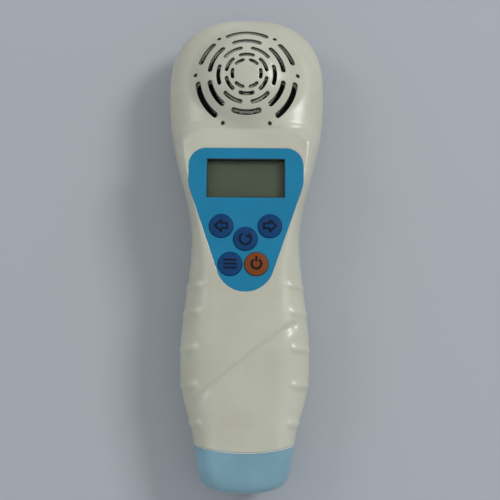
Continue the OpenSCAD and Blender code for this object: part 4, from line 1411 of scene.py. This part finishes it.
@dataclass
class ShellScrews:
    """Four pan-head screws with cross recesses that hold the shells together."""

    head_r: float = 2.6
    head_h: float = 2.0
    shank_r: float = 1.25
    shank_len: float = 19.0
    slot_w: float = 0.75
    slot_len: float = 3.2
    slot_depth: float = 1.1
    head_steps: int = 40
    shank_steps: int = 24

    def build(self, shell: RearShell) -> None:
        """Makes the screws.

        Args:
            shell: Shell whose seats take the screws.
        """
        sizes = {
            "Head Radius": self.head_r,
            "Head Height": self.head_h,
            "Shank Radius": self.shank_r,
            "Shank Length": self.shank_len,
            "Slot Width": self.slot_w,
            "Slot Length": self.slot_len,
            "Slot Depth": self.slot_depth,
        }
        shape = NodeShape("cross_screws", sizes)
        given, join = shape.given, shape.tree.links.new
        rods = []
        for radius, depth, steps, share in (
            ("Head Radius", "Head Height", self.head_steps, -0.5),
            ("Shank Radius", "Shank Length", self.shank_steps, 0.5),
        ):
            size = {"Vertices": steps, "Radius": given[radius], "Depth": given[depth]}
            rod = shape.add("GeometryNodeMeshCylinder", size).outputs[0]
            rods.append(shape.lifted(rod, depth, share))
        bars = shape.add("GeometryNodeJoinGeometry", {})
        for across, along in (("Slot Width", "Slot Length"), ("Slot Length", "Slot Width")):
            bar = shape.block(across, along, "Slot Depth")
            join(shape.lifted(bar, "Head Height", -1.0), bars.inputs[0])
        recess = shape.add("GeometryNodeMeshBoolean", {"Mesh 1": rods[0]}, operation="DIFFERENCE")
        join(bars.outputs[0], recess.inputs["Mesh 2"])
        whole = shape.add("GeometryNodeJoinGeometry", {"Geometry": recess.outputs[0]})
        join(rods[1], whole.inputs[0])
        spots = np.array([[x, y, shell.seat_z] for x, y in shell.spots])
        dress(shape.build(whole.outputs[0], spots, STEEL), STEEL, HOUSING, "shell_screws")


@dataclass
class BatteryDoor:
    """Thumb ribs in the notch of the battery door, which is a solid of the frame."""

    rib_w: float = 0.7
    rib_len: float = 7.2
    rib_h: float = 0.5
    rib_pitch: float = 1.7
    rib_count: int = 4
    notch_y: float = -25.9
    notch_depth: float = 0.7

    def build(self) -> None:
        """Makes the ribs."""
        sizes = {"Rib Length": self.rib_len, "Rib Width": self.rib_w, "Rib Height": self.rib_h}
        shape = NodeShape("door_ribs", sizes)
        first = self.notch_y - self.rib_pitch * (self.rib_count - 1) / 2
        z = self.notch_depth - self.rib_h / 2
        places = [[0, first + self.rib_pitch * i, z] for i in range(self.rib_count)]
        dress(shape.build(shape.block(*sizes), np.array(places), IVORY), IVORY, DOOR)


@dataclass(frozen=True)
class Lamp:
    """A square soft light that faces the scanner: its middle and side in millimetres, and watts."""

    name: str
    place: tuple[float, float, float]
    size: float
    power: float

    def build(self) -> None:
        """Adds the lamp to the scene."""
        data = bpy.data.lights.new(self.name, "AREA")
        data.size, data.energy = self.size * MM, self.power
        lamp = put(self.name, data)
        lamp.location = Vector(self.place) * MM
        lamp.rotation_euler = (-lamp.location).to_track_quat("-Z", "Y").to_euler()


@dataclass
class Studio:
    """Floor, light and camera."""

    floor: float = 3000.0
    floor_gap: float = 0.05
    floor_colour: str = "AEB3B9"
    floor_rough: float = 0.85
    floor_mottle: float = 90.0
    world_colour: str = "F4F6FA"
    world_strength: float = 0.55
    elevation: float = 80.0
    distance: float = 420.0
    lens: float = 72.1
    sensor: float = 36.0
    target: tuple[float, float, float] = (1.9, -0.6, 17.0)
    roll: float = 0.4
    lamps: tuple[Lamp, ...] = (
        Lamp("window", (1450, 800, 1400), 600, 20.0),
        Lamp("fill", (-1500, 600, 1500), 700, 5.0),
    )

    def floor_plane(self) -> None:
        """Makes the pale floor that the scanner lies on."""
        h, z, colour = self.floor / 2, -self.floor_gap, self.floor_colour
        points = np.array([[-h, -h, z], [h, -h, z], [h, h, z], [-h, h, z]])
        floor = write_mesh("floor", points, [[0, 1, 2, 3]])
        mottle = self.floor_mottle
        paper = Finish("backdrop_paper", colour, colour, self.floor_rough, mottle_mm=mottle)
        floor.data.materials.append(paper.material())

    def camera(self) -> None:
        """Adds the camera at the viewing angle of the picture."""
        data = bpy.data.cameras.new("camera")
        data.lens, data.sensor_width = self.lens, self.sensor
        camera = put("camera", data)
        tilt = math.radians(self.elevation)
        away = Vector((0, -math.cos(tilt), math.sin(tilt))) * self.distance
        turn = (-away).to_track_quat("-Z", "Y").to_matrix()
        turn = turn @ Matrix.Rotation(math.radians(self.roll), 3, "Z")
        camera.matrix_world = Matrix.Translation((Vector(self.target) + away) * MM) @ turn.to_4x4()
        bpy.context.scene.camera = camera

    def build(self) -> None:
        """Sets up the whole studio."""
        scene = bpy.context.scene
        scene.view_settings.view_transform = "Standard"
        self.floor_plane()
        for lamp in self.lamps:
            lamp.build()
        world = bpy.data.worlds.new("soft_room")
        world.use_nodes = True
        sky = world.node_tree.nodes["Background"].inputs
        sky["Color"].default_value = linear(self.world_colour)
        sky["Strength"].default_value = self.world_strength
        scene.world = world
        self.camera()


def dress_solids() -> None:
    """Gives every solid of the frame the finish of its slot in the record."""
    slots = {part["node"]: part["material_slot"] for part in frame["record"]["subparts"]}
    for name, solid in frame["nodes"].items():
        solid.data.materials.clear()
        finish = SEAL_PAINTED_LIGHT if name == "nose_seal" else SLOT_FINISHES[slots[name]]
        solid.data.materials.append(finish.material())


def main() -> None:
    """Builds the scanner piece by piece, then the studio."""
    logging.basicConfig(level=logging.INFO, format="%(name)s: %(message)s")
    keypad, grille, front, rear = Keypad(), Grille(), FrontShell(), RearShell()
    dress_solids()
    front.build(grille, keypad)
    rear.build()
    NoseCap().build()
    FasciaLabel().build(front, keypad)
    Display().build(front)
    keypad.build()
    ShellScrews().build(rear)
    BatteryDoor().build()
    Studio().build()


if __name__ == "__main__":
    main()
